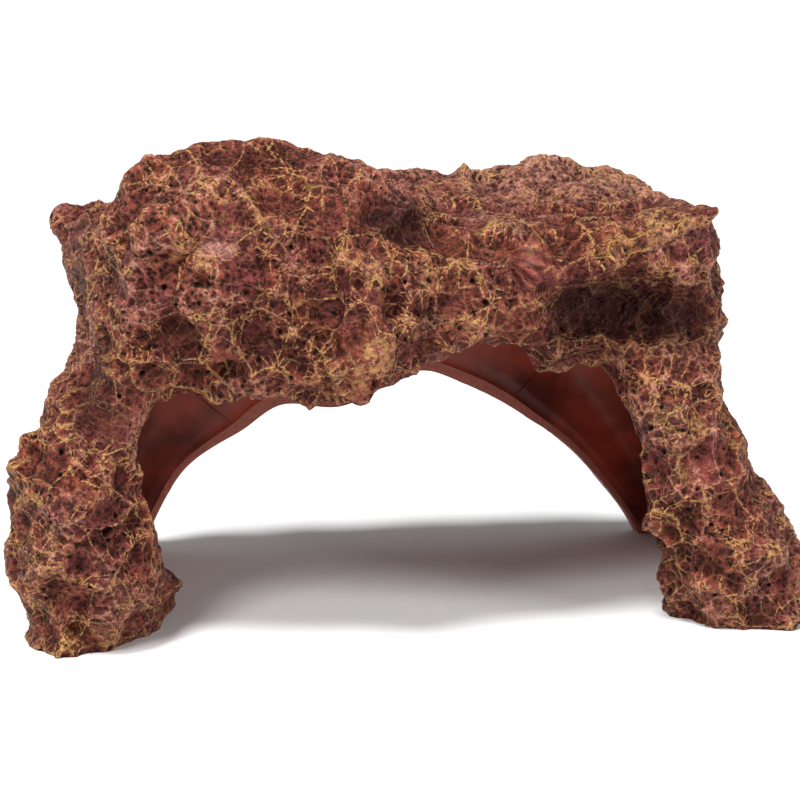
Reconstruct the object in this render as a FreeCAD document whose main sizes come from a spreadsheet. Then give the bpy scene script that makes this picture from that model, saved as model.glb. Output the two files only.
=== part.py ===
import FreeCAD, Part
import math
import os

import Sketcher

# A hollow rock cave for an aquarium floor: an open arch cast in resin, with rough rock
# outside, a wide mouth in front, a lower mouth behind and a smooth back coat inside.
#
# Frame: millimetres, +Z up, the ground at Z = 0, +X to the right, -Y to the front mouth.
# Every casting is a fan of cross sections. Each section stands in a plane through the
# arch's long axis (the Y direction), tilted from the right foot (0 degrees) over the crown
# (90) to the left foot (180). In a section a point is (y, reach): how far back it lies and
# how far from the axis.

SIZES = [
    ("overall_width", 300, "rock, left to right"),
    ("overall_depth", 167, "rock, front to back"),
    ("overall_height", 181, "ground to the top of the crown"),
    ("rock_wall", 7, "thickness of a rock casting"),
    ("lining_wall", 2, "thickness of the smooth back coat"),
    ("bare_rim", 4, "raw casting left bare round both mouths and above the ground"),
]

# The sculptor's master: the outside of the rock, one section a line, in millimetres. Each
# runs from the front lip up the face, over the ridge and down the back to the rear lip.
RIDGE = 5
MASTER = {
    "left_foot": (180, [(-14, 93), (-46, 101), (-68, 116), (-75, 136), (-50, 147),
                        (-4, 143), (40, 141), (66, 135), (79, 118), (76, 96)]),
    "left_ankle": (168, [(-42, 92), (-65, 101), (-79, 120), (-73, 143), (-48, 153),
                         (-4, 146), (40, 141), (67, 131), (80, 113), (77, 90)]),
    "left_knee": (156, [(-62, 107), (-75, 116), (-80, 136), (-72, 153), (-46, 164),
                        (-6, 152), (38, 144), (66, 131), (79, 109), (76, 86)]),
    "left_shoulder": (146, [(-58, 127), (-69, 134), (-70, 146), (-60, 155), (-40, 158),
                            (-6, 153), (36, 150), (64, 134), (78, 108), (75, 79)]),
    "left_recess": (138, [(-56, 131), (-68, 138), (-69, 150), (-58, 158), (-34, 155),
                          (-4, 157), (32, 161), (60, 142), (77, 112), (75, 74)]),
    "spur_tip": (131, [(-62, 126), (-73, 134), (-76, 150), (-66, 168), (-42, 176),
                       (-10, 186), (16, 196), (48, 172), (74, 122), (75, 74)]),
    "boulder_cheek": (123, [(-68, 116), (-80, 125), (-85, 150), (-78, 180), (-58, 197),
                            (-14, 184), (20, 180), (50, 160), (75, 114), (76, 73)]),
    "boulder_brow": (115, [(-70, 101), (-82, 110), (-86, 140), (-80, 176), (-60, 197),
                           (-16, 189), (22, 174), (52, 152), (76, 108), (77, 65)]),
    "boulder_chin": (106, [(-72, 95), (-83, 103), (-86, 130), (-79, 164), (-58, 188),
                           (-14, 178), (24, 164), (53, 144), (76, 102), (77, 60)]),
    "boulder_edge": (97, [(-72, 97), (-82, 105), (-83, 126), (-77, 152), (-56, 171),
                          (-12, 160), (26, 156), (54, 140), (77, 102), (77, 61)]),
    "slab_edge": (87, [(-68, 107), (-79, 113), (-80, 126), (-74, 140), (-54, 148),
                       (-10, 152), (30, 161), (56, 144), (78, 106), (77, 68)]),
    "fan": (75, [(-64, 112), (-75, 118), (-79, 129), (-74, 141), (-56, 149),
                 (-8, 154), (32, 165), (58, 147), (78, 109), (77, 76)]),
    "ledge": (65, [(-46, 104), (-60, 112), (-56, 130), (-70, 150), (-60, 165),
                   (-8, 165), (34, 175), (60, 153), (79, 112), (77, 75)]),
    "ledge_corner": (55.5, [(-46, 118), (-60, 128), (-50, 146), (-66, 167), (-60, 185),
                            (-8, 180), (34, 183), (61, 158), (80, 114), (77, 76)]),
    "right_shoulder": (47, [(-56, 111), (-67, 118), (-66, 132), (-58, 152), (-38, 170),
                            (-6, 176), (36, 174), (63, 150), (80, 113), (77, 78)]),
    "right_waist": (38, [(-58, 102), (-69, 109), (-71, 122), (-62, 136), (-40, 143),
                         (-5, 146), (38, 148), (65, 134), (80, 109), (78, 81)]),
    "right_knee": (26, [(-60, 90), (-72, 98), (-77, 114), (-69, 130), (-46, 137),
                        (-4, 137), (40, 138), (67, 130), (81, 112), (78, 88)]),
    "right_ankle": (13, [(-54, 91), (-71, 99), (-79, 117), (-71, 135), (-48, 142),
                         (-4, 141), (40, 141), (67, 133), (81, 117), (79, 97)]),
    "right_foot": (0, [(-38, 93), (-63, 101), (-76, 116), (-74, 136), (-49, 149),
                       (-4, 146), (40, 146), (67, 140), (81, 126), (79, 110)]),
}
STATIONS = list(MASTER)

# Rock castings: node name, first and last section. The front row carries the lip of the
# wide mouth, the back row the lip of the low one, and they meet along the ridge.
FRONT_ROW = [
    ("front_left_foot", "left_foot", "left_knee"),
    ("left_shoulder", "left_knee", "spur_tip"),
    ("crown_boulder", "spur_tip", "boulder_edge"),
    ("centre_slab", "boulder_edge", "slab_edge"),
    ("fan_lintel", "slab_edge", "ledge"),
    ("right_ledge", "ledge", "right_shoulder"),
    ("right_knee_rock", "right_shoulder", "right_knee"),
    ("front_right_foot", "right_knee", "right_foot"),
]
BACK_ROW = [
    ("rear_left_wall", "left_foot", "left_shoulder"),
    ("left_spur", "left_shoulder", "boulder_cheek"),
    ("rear_crown", "boulder_cheek", "slab_edge"),
    ("rear_hump", "slab_edge", "ledge_corner"),
    ("rear_right_shoulder", "ledge_corner", "right_waist"),
    ("rear_right_wall", "right_waist", "right_foot"),
]
LININGS = [
    ("lining_left", "left_foot", "left_recess"),
    ("lining_crown", "left_recess", "right_shoulder"),
    ("lining_right", "right_shoulder", "right_foot"),
]
COATED_FEET = ("lining_left", "lining_right")

MITRE_LIMIT = 1.5
FRONT_LEG = 13  # usual length of a section's first leg inside, at the front lip
REAR_LEG = 30  # and of its last, at the rear lip


def unit(vector):
    """Vector of length 1 along a (y, reach) pair."""
    length = math.hypot(vector[0], vector[1])
    return (vector[0] / length, vector[1] / length)


def along(start, end):
    """Unit (y, reach) direction from one point to another."""
    return unit((end[0] - start[0], end[1] - start[1]))


def inward_normals(outline):
    """Mitred normals of an open outline, pointing into the hollow."""
    legs = [along(a, b) for a, b in zip(outline, outline[1:])]
    sides = [(leg[1], -leg[0]) for leg in legs]
    normals = [sides[0]]
    for one, two in zip(sides, sides[1:]):
        middle = unit((one[0] + two[0], one[1] + two[1]))
        spread = min(MITRE_LIMIT, 1 / (middle[0] * one[0] + middle[1] * one[1]))
        normals.append((middle[0] * spread, middle[1] * spread))
    return normals + [sides[-1]]


def master_box():
    """Lowest and highest x, y and z of the master."""
    corners = []
    for angle, outline in MASTER.values():
        tilt = math.radians(angle)
        corners += [(r * math.cos(tilt), y, r * math.sin(tilt)) for y, r in outline]
    return [(min(axis), max(axis)) for axis in zip(*corners)]


SPAN_X, SPAN_Y, SPAN_Z = master_box()
WIDTH_SCALE = f"Sizes.overall_width / {SPAN_X[1] - SPAN_X[0]:.4f}"
DEPTH_SCALE = f"Sizes.overall_depth / {SPAN_Y[1] - SPAN_Y[0]:.4f}"
HEIGHT_SCALE = f"Sizes.overall_height / {SPAN_Z[1]:.4f}"


def make_sheet(doc):
    """Spreadsheet of the driving sizes."""
    sheet = doc.addObject("Spreadsheet::Sheet", "Sizes")
    for row, (alias, value, meaning) in enumerate(SIZES, start=1):
        sheet.set(f"A{row}", alias)
        sheet.set(f"B{row}", str(value))
        sheet.set(f"C{row}", meaning)
        sheet.setAlias(f"B{row}", alias)
    doc.recompute()
    return sheet


class Corner:
    """A section corner: a master point plus shares of the walls, as two expressions.

    A corner with a mate is drawn towards it, by the bare rim for a leg of the given length.
    """

    def __init__(self, tilt, point, shares=None, mate=None, leg=1):
        self.tilt = tilt
        self.point = point
        self.shares = shares or {}
        self.mate = mate
        self.leg = leg

    def moved(self, alias, direction):
        """The same corner carried by one of the sheet's sizes along a direction."""
        old = self.shares.get(alias, (0, 0))
        share = (old[0] + direction[0], old[1] + direction[1])
        return Corner(self.tilt, self.point, {**self.shares, alias: share})

    def toward(self, mate, leg):
        """The same corner drawn towards its neighbour."""
        return Corner(self.tilt, self.point, self.shares, mate, leg)

    def expression(self, axis, scale):
        """Sheet formula of one coordinate: 0 is y, 1 is reach."""
        terms = [f"{self.point[axis]} * {scale}"]
        terms += [f"{share[axis]:.4f} * Sizes.{alias}" for alias, share in self.shares.items()]
        own = " + ".join(terms)
        if self.mate is None:
            return own
        goal = self.mate.expression(axis, scale)
        return f"({own}) + ({goal} - ({own})) * Sizes.bare_rim / {self.leg}"

    def formulas(self):
        """Formulas of reach and y."""
        width = f"({math.cos(self.tilt):.6f} * {WIDTH_SCALE})^2"
        height = f"({math.sin(self.tilt):.6f} * {HEIGHT_SCALE})^2"
        reach_scale = f"sqrt({width} + {height})"
        return self.expression(1, reach_scale), self.expression(0, DEPTH_SCALE)

    def place(self, sheet):
        """Reach and y in millimetres, for the sketch's first guess."""
        reach, y = self.point[1], self.point[0]
        for alias, share in self.shares.items():
            y += share[0] * getattr(sheet, alias)
            reach += share[1] * getattr(sheet, alias)
        spot = FreeCAD.Vector(reach, y, 0)
        if self.mate is not None:
            spot += (self.mate.place(sheet) - spot) * (sheet.bare_rim / self.leg)
        return spot


def skins(station):
    """Outer, inner and lining corners of one section, front lip to rear lip."""
    angle, outline = MASTER[station]
    outer = [Corner(math.radians(angle), point) for point in outline]
    normals = inward_normals(outline)
    inner = [corner.moved("rock_wall", normal) for corner, normal in zip(outer, normals)]
    coat = [corner.moved("lining_wall", normal) for corner, normal in zip(inner, normals)]
    return outer, inner, trimmed(inner), trimmed(coat)


def trimmed(corners):
    """Corners with both ends drawn in, which leaves the lips bare."""
    head = corners[0].toward(corners[1], FRONT_LEG)
    tail = corners[-1].toward(corners[-2], REAR_LEG)
    return [head] + corners[1:-1] + [tail]


def front_ring(station):
    """Closed section of the front row."""
    outer, inner = skins(station)[:2]
    return outer[:RIDGE + 1] + inner[RIDGE::-1]


def back_ring(station):
    """Closed section of the back row."""
    outer, inner = skins(station)[:2]
    return outer[RIDGE:] + inner[:RIDGE - 1:-1]


def lining_ring(station):
    """Closed section of the back coat."""
    backing, coat = skins(station)[2:]
    return backing + coat[::-1]


def origin_plane(body, role):
    """One of the body's own origin planes."""
    return next(item for item in body.Origin.OriginFeatures if item.Role == role)


def hang_in_plane(sketch, body, angle):
    """Attach a sketch to the ground plane and tilt it about the arch's axis."""
    sketch.AttachmentSupport = (origin_plane(body, "XY_Plane"), "")
    sketch.MapMode = "FlatFace"
    turn = FreeCAD.Rotation(FreeCAD.Vector(0, -1, 0), angle)
    sketch.AttachmentOffset = FreeCAD.Placement(FreeCAD.Vector(0, 0, 0), turn)
    if 0 < angle < 180:
        rise = f"{math.sin(math.radians(angle)):.6f} * {HEIGHT_SCALE}"
        run = f"{math.cos(math.radians(angle)):.6f} * {WIDTH_SCALE}"
        sketch.setExpression("AttachmentOffset.Rotation.Angle", f"atan2({rise}; {run})")


def draw_section(body, sheet, station, ring):
    """Sketch one closed section whose corners all follow the sheet."""
    sketch = body.newObject("Sketcher::SketchObject", f"{body.Name}_{station}")
    hang_in_plane(sketch, body, MASTER[station][0])
    spots = [corner.place(sheet) for corner in ring]
    count = len(ring)
    edges = [Part.LineSegment(spots[i], spots[(i + 1) % count]) for i in range(count)]
    sketch.addGeometry(edges, False)
    ties = [Sketcher.Constraint("Coincident", i, 2, (i + 1) % count, 1) for i in range(count)]
    for i, spot in enumerate(spots):
        ties.append(Sketcher.Constraint("DistanceX", -1, 1, i, 1, spot.x))
        ties.append(Sketcher.Constraint("DistanceY", -1, 1, i, 1, spot.y))
    sketch.addConstraint(ties)
    for i, corner in enumerate(ring):
        reach_at = count + 2 * i
        for index, word, formula in zip((reach_at, reach_at + 1), ("reach", "back"),
                                        corner.formulas()):
            sketch.renameConstraint(index, f"{word}_{i}")
            sketch.setExpression(f"Constraints.{word}_{i}", formula)
    return sketch


def cast(doc, sheet, name, first, last, ring_of):
    """One casting: a ruled loft through its sections."""
    body = doc.addObject("PartDesign::Body", name)
    body.Label = name
    stations = STATIONS[STATIONS.index(first):STATIONS.index(last) + 1]
    sections = [draw_section(body, sheet, station, ring_of(station)) for station in stations]
    doc.recompute()
    loft = body.newObject("PartDesign::AdditiveLoft", f"{name}_loft")
    loft.Profile = sections[0]
    loft.Sections = sections[1:]
    loft.Ruled = True
    middle_x = (SPAN_X[0] + SPAN_X[1]) / 2
    middle_y = (SPAN_Y[0] + SPAN_Y[1]) / 2
    body.setExpression("Placement.Base.x", f"{-middle_x:.4f} * {WIDTH_SCALE}")
    body.setExpression("Placement.Base.y", f"{-middle_y:.4f} * {DEPTH_SCALE}")
    doc.recompute()
    return body


def trim_foot(doc, body):
    """Cut the back coat off above the ground, so the castings alone stand on it."""
    cut = body.newObject("PartDesign::SubtractiveBox", f"{body.Name}_trim")
    cut.AttachmentSupport = (origin_plane(body, "XY_Plane"), "")
    cut.MapMode = "FlatFace"
    cut.setExpression("AttachmentOffset.Base.x", "-Sizes.overall_width")
    cut.setExpression("AttachmentOffset.Base.y", "-Sizes.overall_depth")
    cut.setExpression("Length", "2 * Sizes.overall_width")
    cut.setExpression("Width", "2 * Sizes.overall_depth")
    cut.setExpression("Height", "Sizes.bare_rim")
    doc.recompute()


def check(doc, bodies):
    """Stop if any object failed or any casting is not one sound solid."""
    for item in doc.Objects:
        if "Invalid" in item.State or "Error" in item.State:
            raise RuntimeError(f"{item.Label} failed: {item.State}")
    for body in bodies:
        shape = body.Shape
        if shape.isNull() or not shape.isValid() or len(shape.Solids) != 1:
            raise RuntimeError(f"{body.Label} is not one valid solid")


def main():
    doc = FreeCAD.newDocument("cave_ornament")
    sheet = make_sheet(doc)
    bodies = []
    for row, ring_of in ((FRONT_ROW, front_ring), (BACK_ROW, back_ring),
                         (LININGS, lining_ring)):
        for name, first, last in row:
            bodies.append(cast(doc, sheet, name, first, last, ring_of))
    for body in bodies:
        if body.Label in COATED_FEET:
            trim_foot(doc, body)
    check(doc, bodies)
    os.makedirs("parts", exist_ok=True)
    for body in bodies:
        body.Shape.exportStep(f"parts/{body.Label}.step")
        print(f"{body.Label}: {body.Shape.Volume / 1000:.1f} cm3")
    box = Part.makeCompound([body.Shape for body in bodies]).BoundBox
    print(f"box {box.XMin:.2f} {box.XMax:.2f} {box.YMin:.2f} {box.YMax:.2f} {box.ZMax:.2f}")


main()
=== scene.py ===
"""Cave ornament for an aquarium: a hollow rock arch cast in coloured resin.

The rock is one smooth form laid over the frame's box, then given its crags, cells and
pits by Geometry Nodes, and cut into the castings that the frame names.
"""

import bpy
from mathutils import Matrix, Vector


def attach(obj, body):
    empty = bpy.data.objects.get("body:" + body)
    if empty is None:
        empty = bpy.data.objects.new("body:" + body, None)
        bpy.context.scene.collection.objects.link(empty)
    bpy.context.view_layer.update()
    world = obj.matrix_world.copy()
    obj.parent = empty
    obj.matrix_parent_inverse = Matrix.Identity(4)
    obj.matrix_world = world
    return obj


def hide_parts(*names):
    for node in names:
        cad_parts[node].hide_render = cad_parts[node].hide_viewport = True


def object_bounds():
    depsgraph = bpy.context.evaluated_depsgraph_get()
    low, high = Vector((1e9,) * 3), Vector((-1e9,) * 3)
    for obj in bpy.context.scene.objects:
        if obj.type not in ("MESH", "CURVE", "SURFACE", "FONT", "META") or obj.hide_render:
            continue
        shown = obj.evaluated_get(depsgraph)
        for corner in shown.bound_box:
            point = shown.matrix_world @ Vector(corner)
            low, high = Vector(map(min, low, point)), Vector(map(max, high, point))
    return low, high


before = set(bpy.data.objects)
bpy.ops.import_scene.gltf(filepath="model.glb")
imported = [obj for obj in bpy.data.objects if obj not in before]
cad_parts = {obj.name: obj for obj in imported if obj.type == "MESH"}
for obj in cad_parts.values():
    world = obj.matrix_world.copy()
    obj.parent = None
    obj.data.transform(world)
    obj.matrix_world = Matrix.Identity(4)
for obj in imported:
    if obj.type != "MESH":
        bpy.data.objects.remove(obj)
CAD_BOX = [list(corner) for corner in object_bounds()]

import logging
import math
from dataclasses import dataclass, field
from enum import Enum
from typing import NamedTuple

import bpy
import numpy as np
from mathutils import Euler, Vector

LOG = logging.getLogger("cave_ornament")
MM = 0.001
BAKE_MAP = "OFBake"


class Section(NamedTuple):
    """One cross section of the rock's outside.

    Args:
        name: what stands there.
        angle: tilt of the section's plane in degrees, 0 at the right foot, 180 at the left.
        outline: (depth, reach) points in mm, from the front lip over the top to the rear lip.
    """

    name: str
    angle: float
    outline: list


SECTIONS = [
    Section("right_foot", 0, [(-38, 93), (-63, 101), (-76, 116), (-74, 136), (-49, 149),
                              (-4, 146), (40, 146), (67, 140), (81, 126), (79, 110)]),
    Section("right_ankle", 13, [(-54, 91), (-71, 99), (-79, 117), (-71, 135), (-48, 142),
                                (-4, 141), (40, 141), (67, 133), (81, 117), (79, 97)]),
    Section("right_knee", 26, [(-60, 90), (-72, 98), (-77, 114), (-69, 130), (-46, 137),
                               (-4, 137), (40, 138), (67, 130), (81, 112), (78, 88)]),
    Section("right_waist", 38, [(-58, 102), (-69, 109), (-71, 122), (-62, 136), (-40, 143),
                                (-5, 146), (38, 148), (65, 134), (80, 109), (78, 81)]),
    Section("right_shoulder", 47, [(-56, 111), (-67, 118), (-66, 132), (-58, 152), (-38, 170),
                                   (-6, 176), (36, 174), (63, 150), (80, 113), (77, 78)]),
    Section("ledge_corner", 55.5, [(-46, 118), (-60, 128), (-50, 146), (-66, 167), (-60, 185),
                                   (-8, 180), (34, 183), (61, 158), (80, 114), (77, 76)]),
    Section("ledge", 65, [(-46, 104), (-60, 112), (-56, 130), (-70, 150), (-60, 165),
                          (-8, 165), (34, 175), (60, 153), (79, 112), (77, 75)]),
    Section("fan", 75, [(-64, 112), (-75, 118), (-79, 129), (-74, 141), (-56, 149),
                        (-8, 154), (32, 165), (58, 147), (78, 109), (77, 76)]),
    Section("slab_edge", 87, [(-68, 107), (-79, 113), (-80, 126), (-74, 140), (-54, 148),
                              (-10, 152), (30, 161), (56, 144), (78, 106), (77, 68)]),
    Section("boulder_edge", 97, [(-72, 97), (-82, 105), (-83, 126), (-77, 152), (-56, 171),
                                 (-12, 160), (26, 156), (54, 140), (77, 102), (77, 61)]),
    Section("boulder_chin", 106, [(-72, 95), (-83, 103), (-86, 130), (-79, 164), (-58, 188),
                                  (-14, 178), (24, 164), (53, 144), (76, 102), (77, 60)]),
    Section("boulder_brow", 115, [(-70, 101), (-82, 110), (-86, 140), (-80, 176), (-60, 197),
                                  (-16, 189), (22, 174), (52, 152), (76, 108), (77, 65)]),
    Section("boulder_cheek", 123, [(-68, 116), (-80, 125), (-85, 150), (-78, 180), (-58, 197),
                                   (-14, 184), (20, 180), (50, 160), (75, 114), (76, 73)]),
    Section("spur_tip", 131, [(-62, 126), (-73, 134), (-76, 150), (-66, 168), (-42, 176),
                              (-10, 186), (16, 196), (48, 172), (74, 122), (75, 74)]),
    Section("left_recess", 138, [(-56, 131), (-68, 138), (-69, 150), (-58, 158), (-34, 155),
                                 (-4, 157), (32, 161), (60, 142), (77, 112), (75, 74)]),
    Section("left_shoulder", 146, [(-58, 127), (-69, 134), (-70, 146), (-60, 155), (-40, 158),
                                   (-6, 153), (36, 150), (64, 134), (78, 108), (75, 79)]),
    Section("left_knee", 156, [(-62, 107), (-75, 116), (-80, 136), (-72, 153), (-46, 164),
                               (-6, 152), (38, 144), (66, 131), (79, 109), (76, 86)]),
    Section("left_ankle", 168, [(-42, 92), (-65, 101), (-79, 120), (-73, 143), (-48, 153),
                                (-4, 146), (40, 141), (67, 131), (80, 113), (77, 90)]),
    Section("left_foot", 180, [(-14, 93), (-46, 101), (-68, 116), (-75, 136), (-50, 147),
                               (-4, 143), (40, 141), (66, 135), (79, 118), (76, 96)]),
]
RIDGE_POINT = 5
CALMING = 0.85


class Row(Enum):
    """Which row of castings a piece belongs to: the front mouth's or the back mouth's."""

    FRONT = "front"
    BACK = "back"


class Casting(NamedTuple):
    """A rock casting: its CAD node, its row and the two sections that bound it."""

    node: str
    row: Row
    first: str
    last: str


CASTINGS = [
    Casting("front_right_foot", Row.FRONT, "right_foot", "right_knee"),
    Casting("right_knee_rock", Row.FRONT, "right_knee", "right_shoulder"),
    Casting("right_ledge", Row.FRONT, "right_shoulder", "ledge"),
    Casting("fan_lintel", Row.FRONT, "ledge", "slab_edge"),
    Casting("centre_slab", Row.FRONT, "slab_edge", "boulder_edge"),
    Casting("crown_boulder", Row.FRONT, "boulder_edge", "spur_tip"),
    Casting("left_shoulder", Row.FRONT, "spur_tip", "left_knee"),
    Casting("front_left_foot", Row.FRONT, "left_knee", "left_foot"),
    Casting("rear_right_wall", Row.BACK, "right_foot", "right_waist"),
    Casting("rear_right_shoulder", Row.BACK, "right_waist", "ledge_corner"),
    Casting("rear_hump", Row.BACK, "ledge_corner", "slab_edge"),
    Casting("rear_crown", Row.BACK, "slab_edge", "boulder_cheek"),
    Casting("left_spur", Row.BACK, "boulder_cheek", "left_shoulder"),
    Casting("rear_left_wall", Row.BACK, "left_shoulder", "left_foot"),
]
LINING_SPANS = [
    ("lining_right", "right_foot", "right_shoulder"),
    ("lining_crown", "right_shoulder", "left_recess"),
    ("lining_left", "left_recess", "left_foot"),
]


class Touch(Enum):
    """How a sculpting stroke moves the rock."""

    SWELL = "swell"
    GROOVE = "groove"
    PLATE = "plate"


class Stroke(NamedTuple):
    """A sculpting stroke on the rock's face.

    Args:
        name: what it makes.
        touch: how it works. A plate fills the outline that its path draws.
        path: (angle, outline place) points, in degrees and outline point numbers.
        radius: half width in mm; for a plate, the width of its sloping edge.
        depth: height in mm, negative inwards.
    """

    name: str
    touch: Touch
    path: list
    radius: float
    depth: float


class Pull(NamedTuple):
    """A pull on part of the rock, which carries its whole wall along.

    Args:
        name: what it shapes.
        path: (angle, outline place) points.
        radius: how far it reaches, in mm.
        shift: the pull itself, in mm.
    """

    name: str
    path: list
    radius: float
    shift: tuple[float, float, float]


class Pigment(Enum):
    """What is laid on the rock: ochre and mauve paint, a lighter paint that is partly painted
    highlight, painted shade, and a calm that smooths the rough surface.

    Each is a point attribute of its own. Full calm takes away the share CALMING of the roughness.
    """

    OCHRE = "ochre"
    PAINTED_SHADE = "painted_shade"
    MAUVE = "mauve"
    RUST_AND_HIGHLIGHT = "rust_and_highlight"
    CALM = "calm"


class Daub(NamedTuple):
    """A touch of paint, of painted shade, or of calm: its pigment, path, radius in mm and strength.
    """

    pigment: Pigment
    path: list
    radius: float
    strength: float


PULLS = [
    Pull("spur tip", [(131, 5.9)], 13, (-4.5, 0, 2.0)),
    Pull("boulder shoulder", [(120, 3.9)], 15, (-2.0, 0, 4.0)),
    Pull("boulder lip", [(128, 0.0), (118, 0.0), (108, 0.0)], 18, (0, 0, -5.0)),
    Pull("left notch", [(152, 4.3), (156, 4.8)], 18, (3.0, 0, -1.0)),
    Pull("left foot outside", [(178, 3.6), (179, 4.6)], 26, (4.0, 0, 0)),
    Pull("left foot inside", [(173, 0.4)], 20, (5.0, 0, 0)),
    Pull("right knee outside", [(33, 4.4), (30, 5.4)], 22, (-3.5, 0, 0)),
    Pull("ledge corner", [(55.5, 4.0)], 9, (1.5, -1.5, 3.0)),
    Pull("behind the corner", [(50, 5.3)], 16, (-4.0, 0, -2.0)),
    Pull("recess", [(67, 2.1), (59, 2.1), (51, 2.4)], 19, (0, 8.0, 0)),
]
STROKES = [
    Stroke("upper bowl", Touch.SWELL, [(119, 3.5)], 11, -4.3),
    Stroke("nose", Touch.SWELL, [(123, 3.1), (120.5, 2.95)], 9, 4.6),
    Stroke("under the nose", Touch.GROOVE, [(121.5, 2.62), (118.5, 2.75)], 5, -3.0),
    Stroke("boulder rib", Touch.GROOVE, [(122, 2.6), (117.5, 2.3), (113.5, 2.2)], 4, 2.7),
    Stroke("boulder hollow", Touch.SWELL, [(117, 1.8), (113, 1.7)], 13, -4.1),
    Stroke("middle bowl", Touch.SWELL, [(109, 2.5)], 13, -3.5),
    Stroke("brow bowl", Touch.SWELL, [(110, 3.4), (106, 3.4)], 12, -2.4),
    Stroke("low rib", Touch.GROOVE, [(115.5, 1.45), (109.5, 1.7), (105, 1.75)], 4, 2.4),
    Stroke("low cavity", Touch.SWELL, [(128.5, 0.7), (124.5, 0.7)], 8, -4.6),
    Stroke("cheek bowl", Touch.SWELL, [(128, 1.9)], 11, -3.5),
    Stroke("slab", Touch.PLATE, [(103.5, 2.75), (98.5, 2.8), (97.5, 2.0), (97.5, 1.5),
                                 (100, 0.6), (107, 0.65), (110, 1.1), (106, 2.0)], 2.4, 4.9),
    Stroke("slab crack", Touch.GROOVE, [(101.5, 2.3), (102.2, 1.7), (102.8, 0.8)], 1.1, -3.2),
    Stroke("foot plate", Touch.PLATE, [(93, 0.75), (87, 0.9), (87.5, 0.35), (93.5, 0.25)], 1.6, 2.4),
    Stroke("cavity by the slab", Touch.SWELL, [(93, 1.75), (89, 1.7)], 9, -3.4),
    Stroke("rib by the slab", Touch.GROOVE, [(94.5, 2.9), (94, 2.2), (95, 1.3)], 3, 2.2),
    Stroke("top patch", Touch.SWELL, [(96, 3.35), (91, 3.6)], 10, -3.8),
    Stroke("top hole", Touch.SWELL, [(93, 3.3)], 6, -4.7),
    Stroke("fan rim", Touch.GROOVE, [(73.5, 4.0), (72, 3.4), (72, 2.9), (73.5, 2.45), (78, 2.2)],
           3.2, 2.4),
    Stroke("ledge crest", Touch.GROOVE, [(74, 2.35), (66, 2.95), (64, 3.2), (59, 3.6), (55.5, 4.0)],
           3.4, 2.7),
    Stroke("ledge face", Touch.SWELL, [(60, 3.25)], 9, -2.4),
    Stroke("ledge face right", Touch.SWELL, [(52, 3.3)], 9, -3.0),
    Stroke("hump bowl", Touch.SWELL, [(78, 5.3), (70, 5.2)], 16, -4.1),
    Stroke("hump swell", Touch.SWELL, [(70, 6.0), (62, 5.9)], 13, 2.7),
    Stroke("knee hollow", Touch.SWELL, [(32.5, 1.9), (30.5, 1.75)], 8, -4.6),
    Stroke("knee rib", Touch.GROOVE, [(43, 1.6), (38, 1.5), (34, 2.6)], 4, 2.4),
    Stroke("foot bowl", Touch.SWELL, [(8, 2.4)], 14, -3.0),
    Stroke("foot rib", Touch.GROOVE, [(14, 2.0), (12, 2.9), (4, 3.3)], 4, 2.4),
    Stroke("foot bowl left", Touch.SWELL, [(173, 2.4)], 13, -4.3),
    Stroke("foot shelf left", Touch.GROOVE, [(168, 3.3), (165, 2.4), (166, 1.2)], 5, 3.2),
    Stroke("knee bowl left", Touch.SWELL, [(160, 2.8)], 14, -3.2),
    Stroke("shoulder channel", Touch.SWELL, [(151, 1.9), (143, 2.6), (137, 3.2)], 12, -4.6),
    Stroke("shoulder knob", Touch.SWELL, [(152, 3.6)], 8, 4.1),
    Stroke("strata one", Touch.GROOVE, [(131.5, 5.7), (128, 5.0), (125.5, 4.2)], 1.8, 1.8),
    Stroke("strata two", Touch.GROOVE, [(132.5, 5.4), (129.5, 4.7), (127, 4.0)], 1.8, 1.8),
    Stroke("strata three", Touch.GROOVE, [(133.5, 5.1), (131, 4.5), (129, 3.9)], 1.8, 1.8),
]
HOLE_DEPTH = 2.6
HOLES = [
    ((113.3, 2.2), 2.0), ((116.7, 2.13), 1.6), ((132.2, 2.07), 1.6), ((119.6, 3.94), 1.5),
    ((127.5, 0.35), 2.0), ((176, 2.47), 2.2), ((16.4, 0.91), 1.8), ((96.0, 1.9), 1.4),
    ((107, 1.0), 1.2), ((20, 1.6), 1.2), ((12, 1.3), 1.1), ((169, 1.4), 1.2), ((76, 3.1), 1.0),
    ((101, 3.4), 1.2), ((112, 3.1), 1.2), ((158, 1.5), 1.2), ((66, 4.4), 1.3), ((44, 2.4), 1.3),
]
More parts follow.
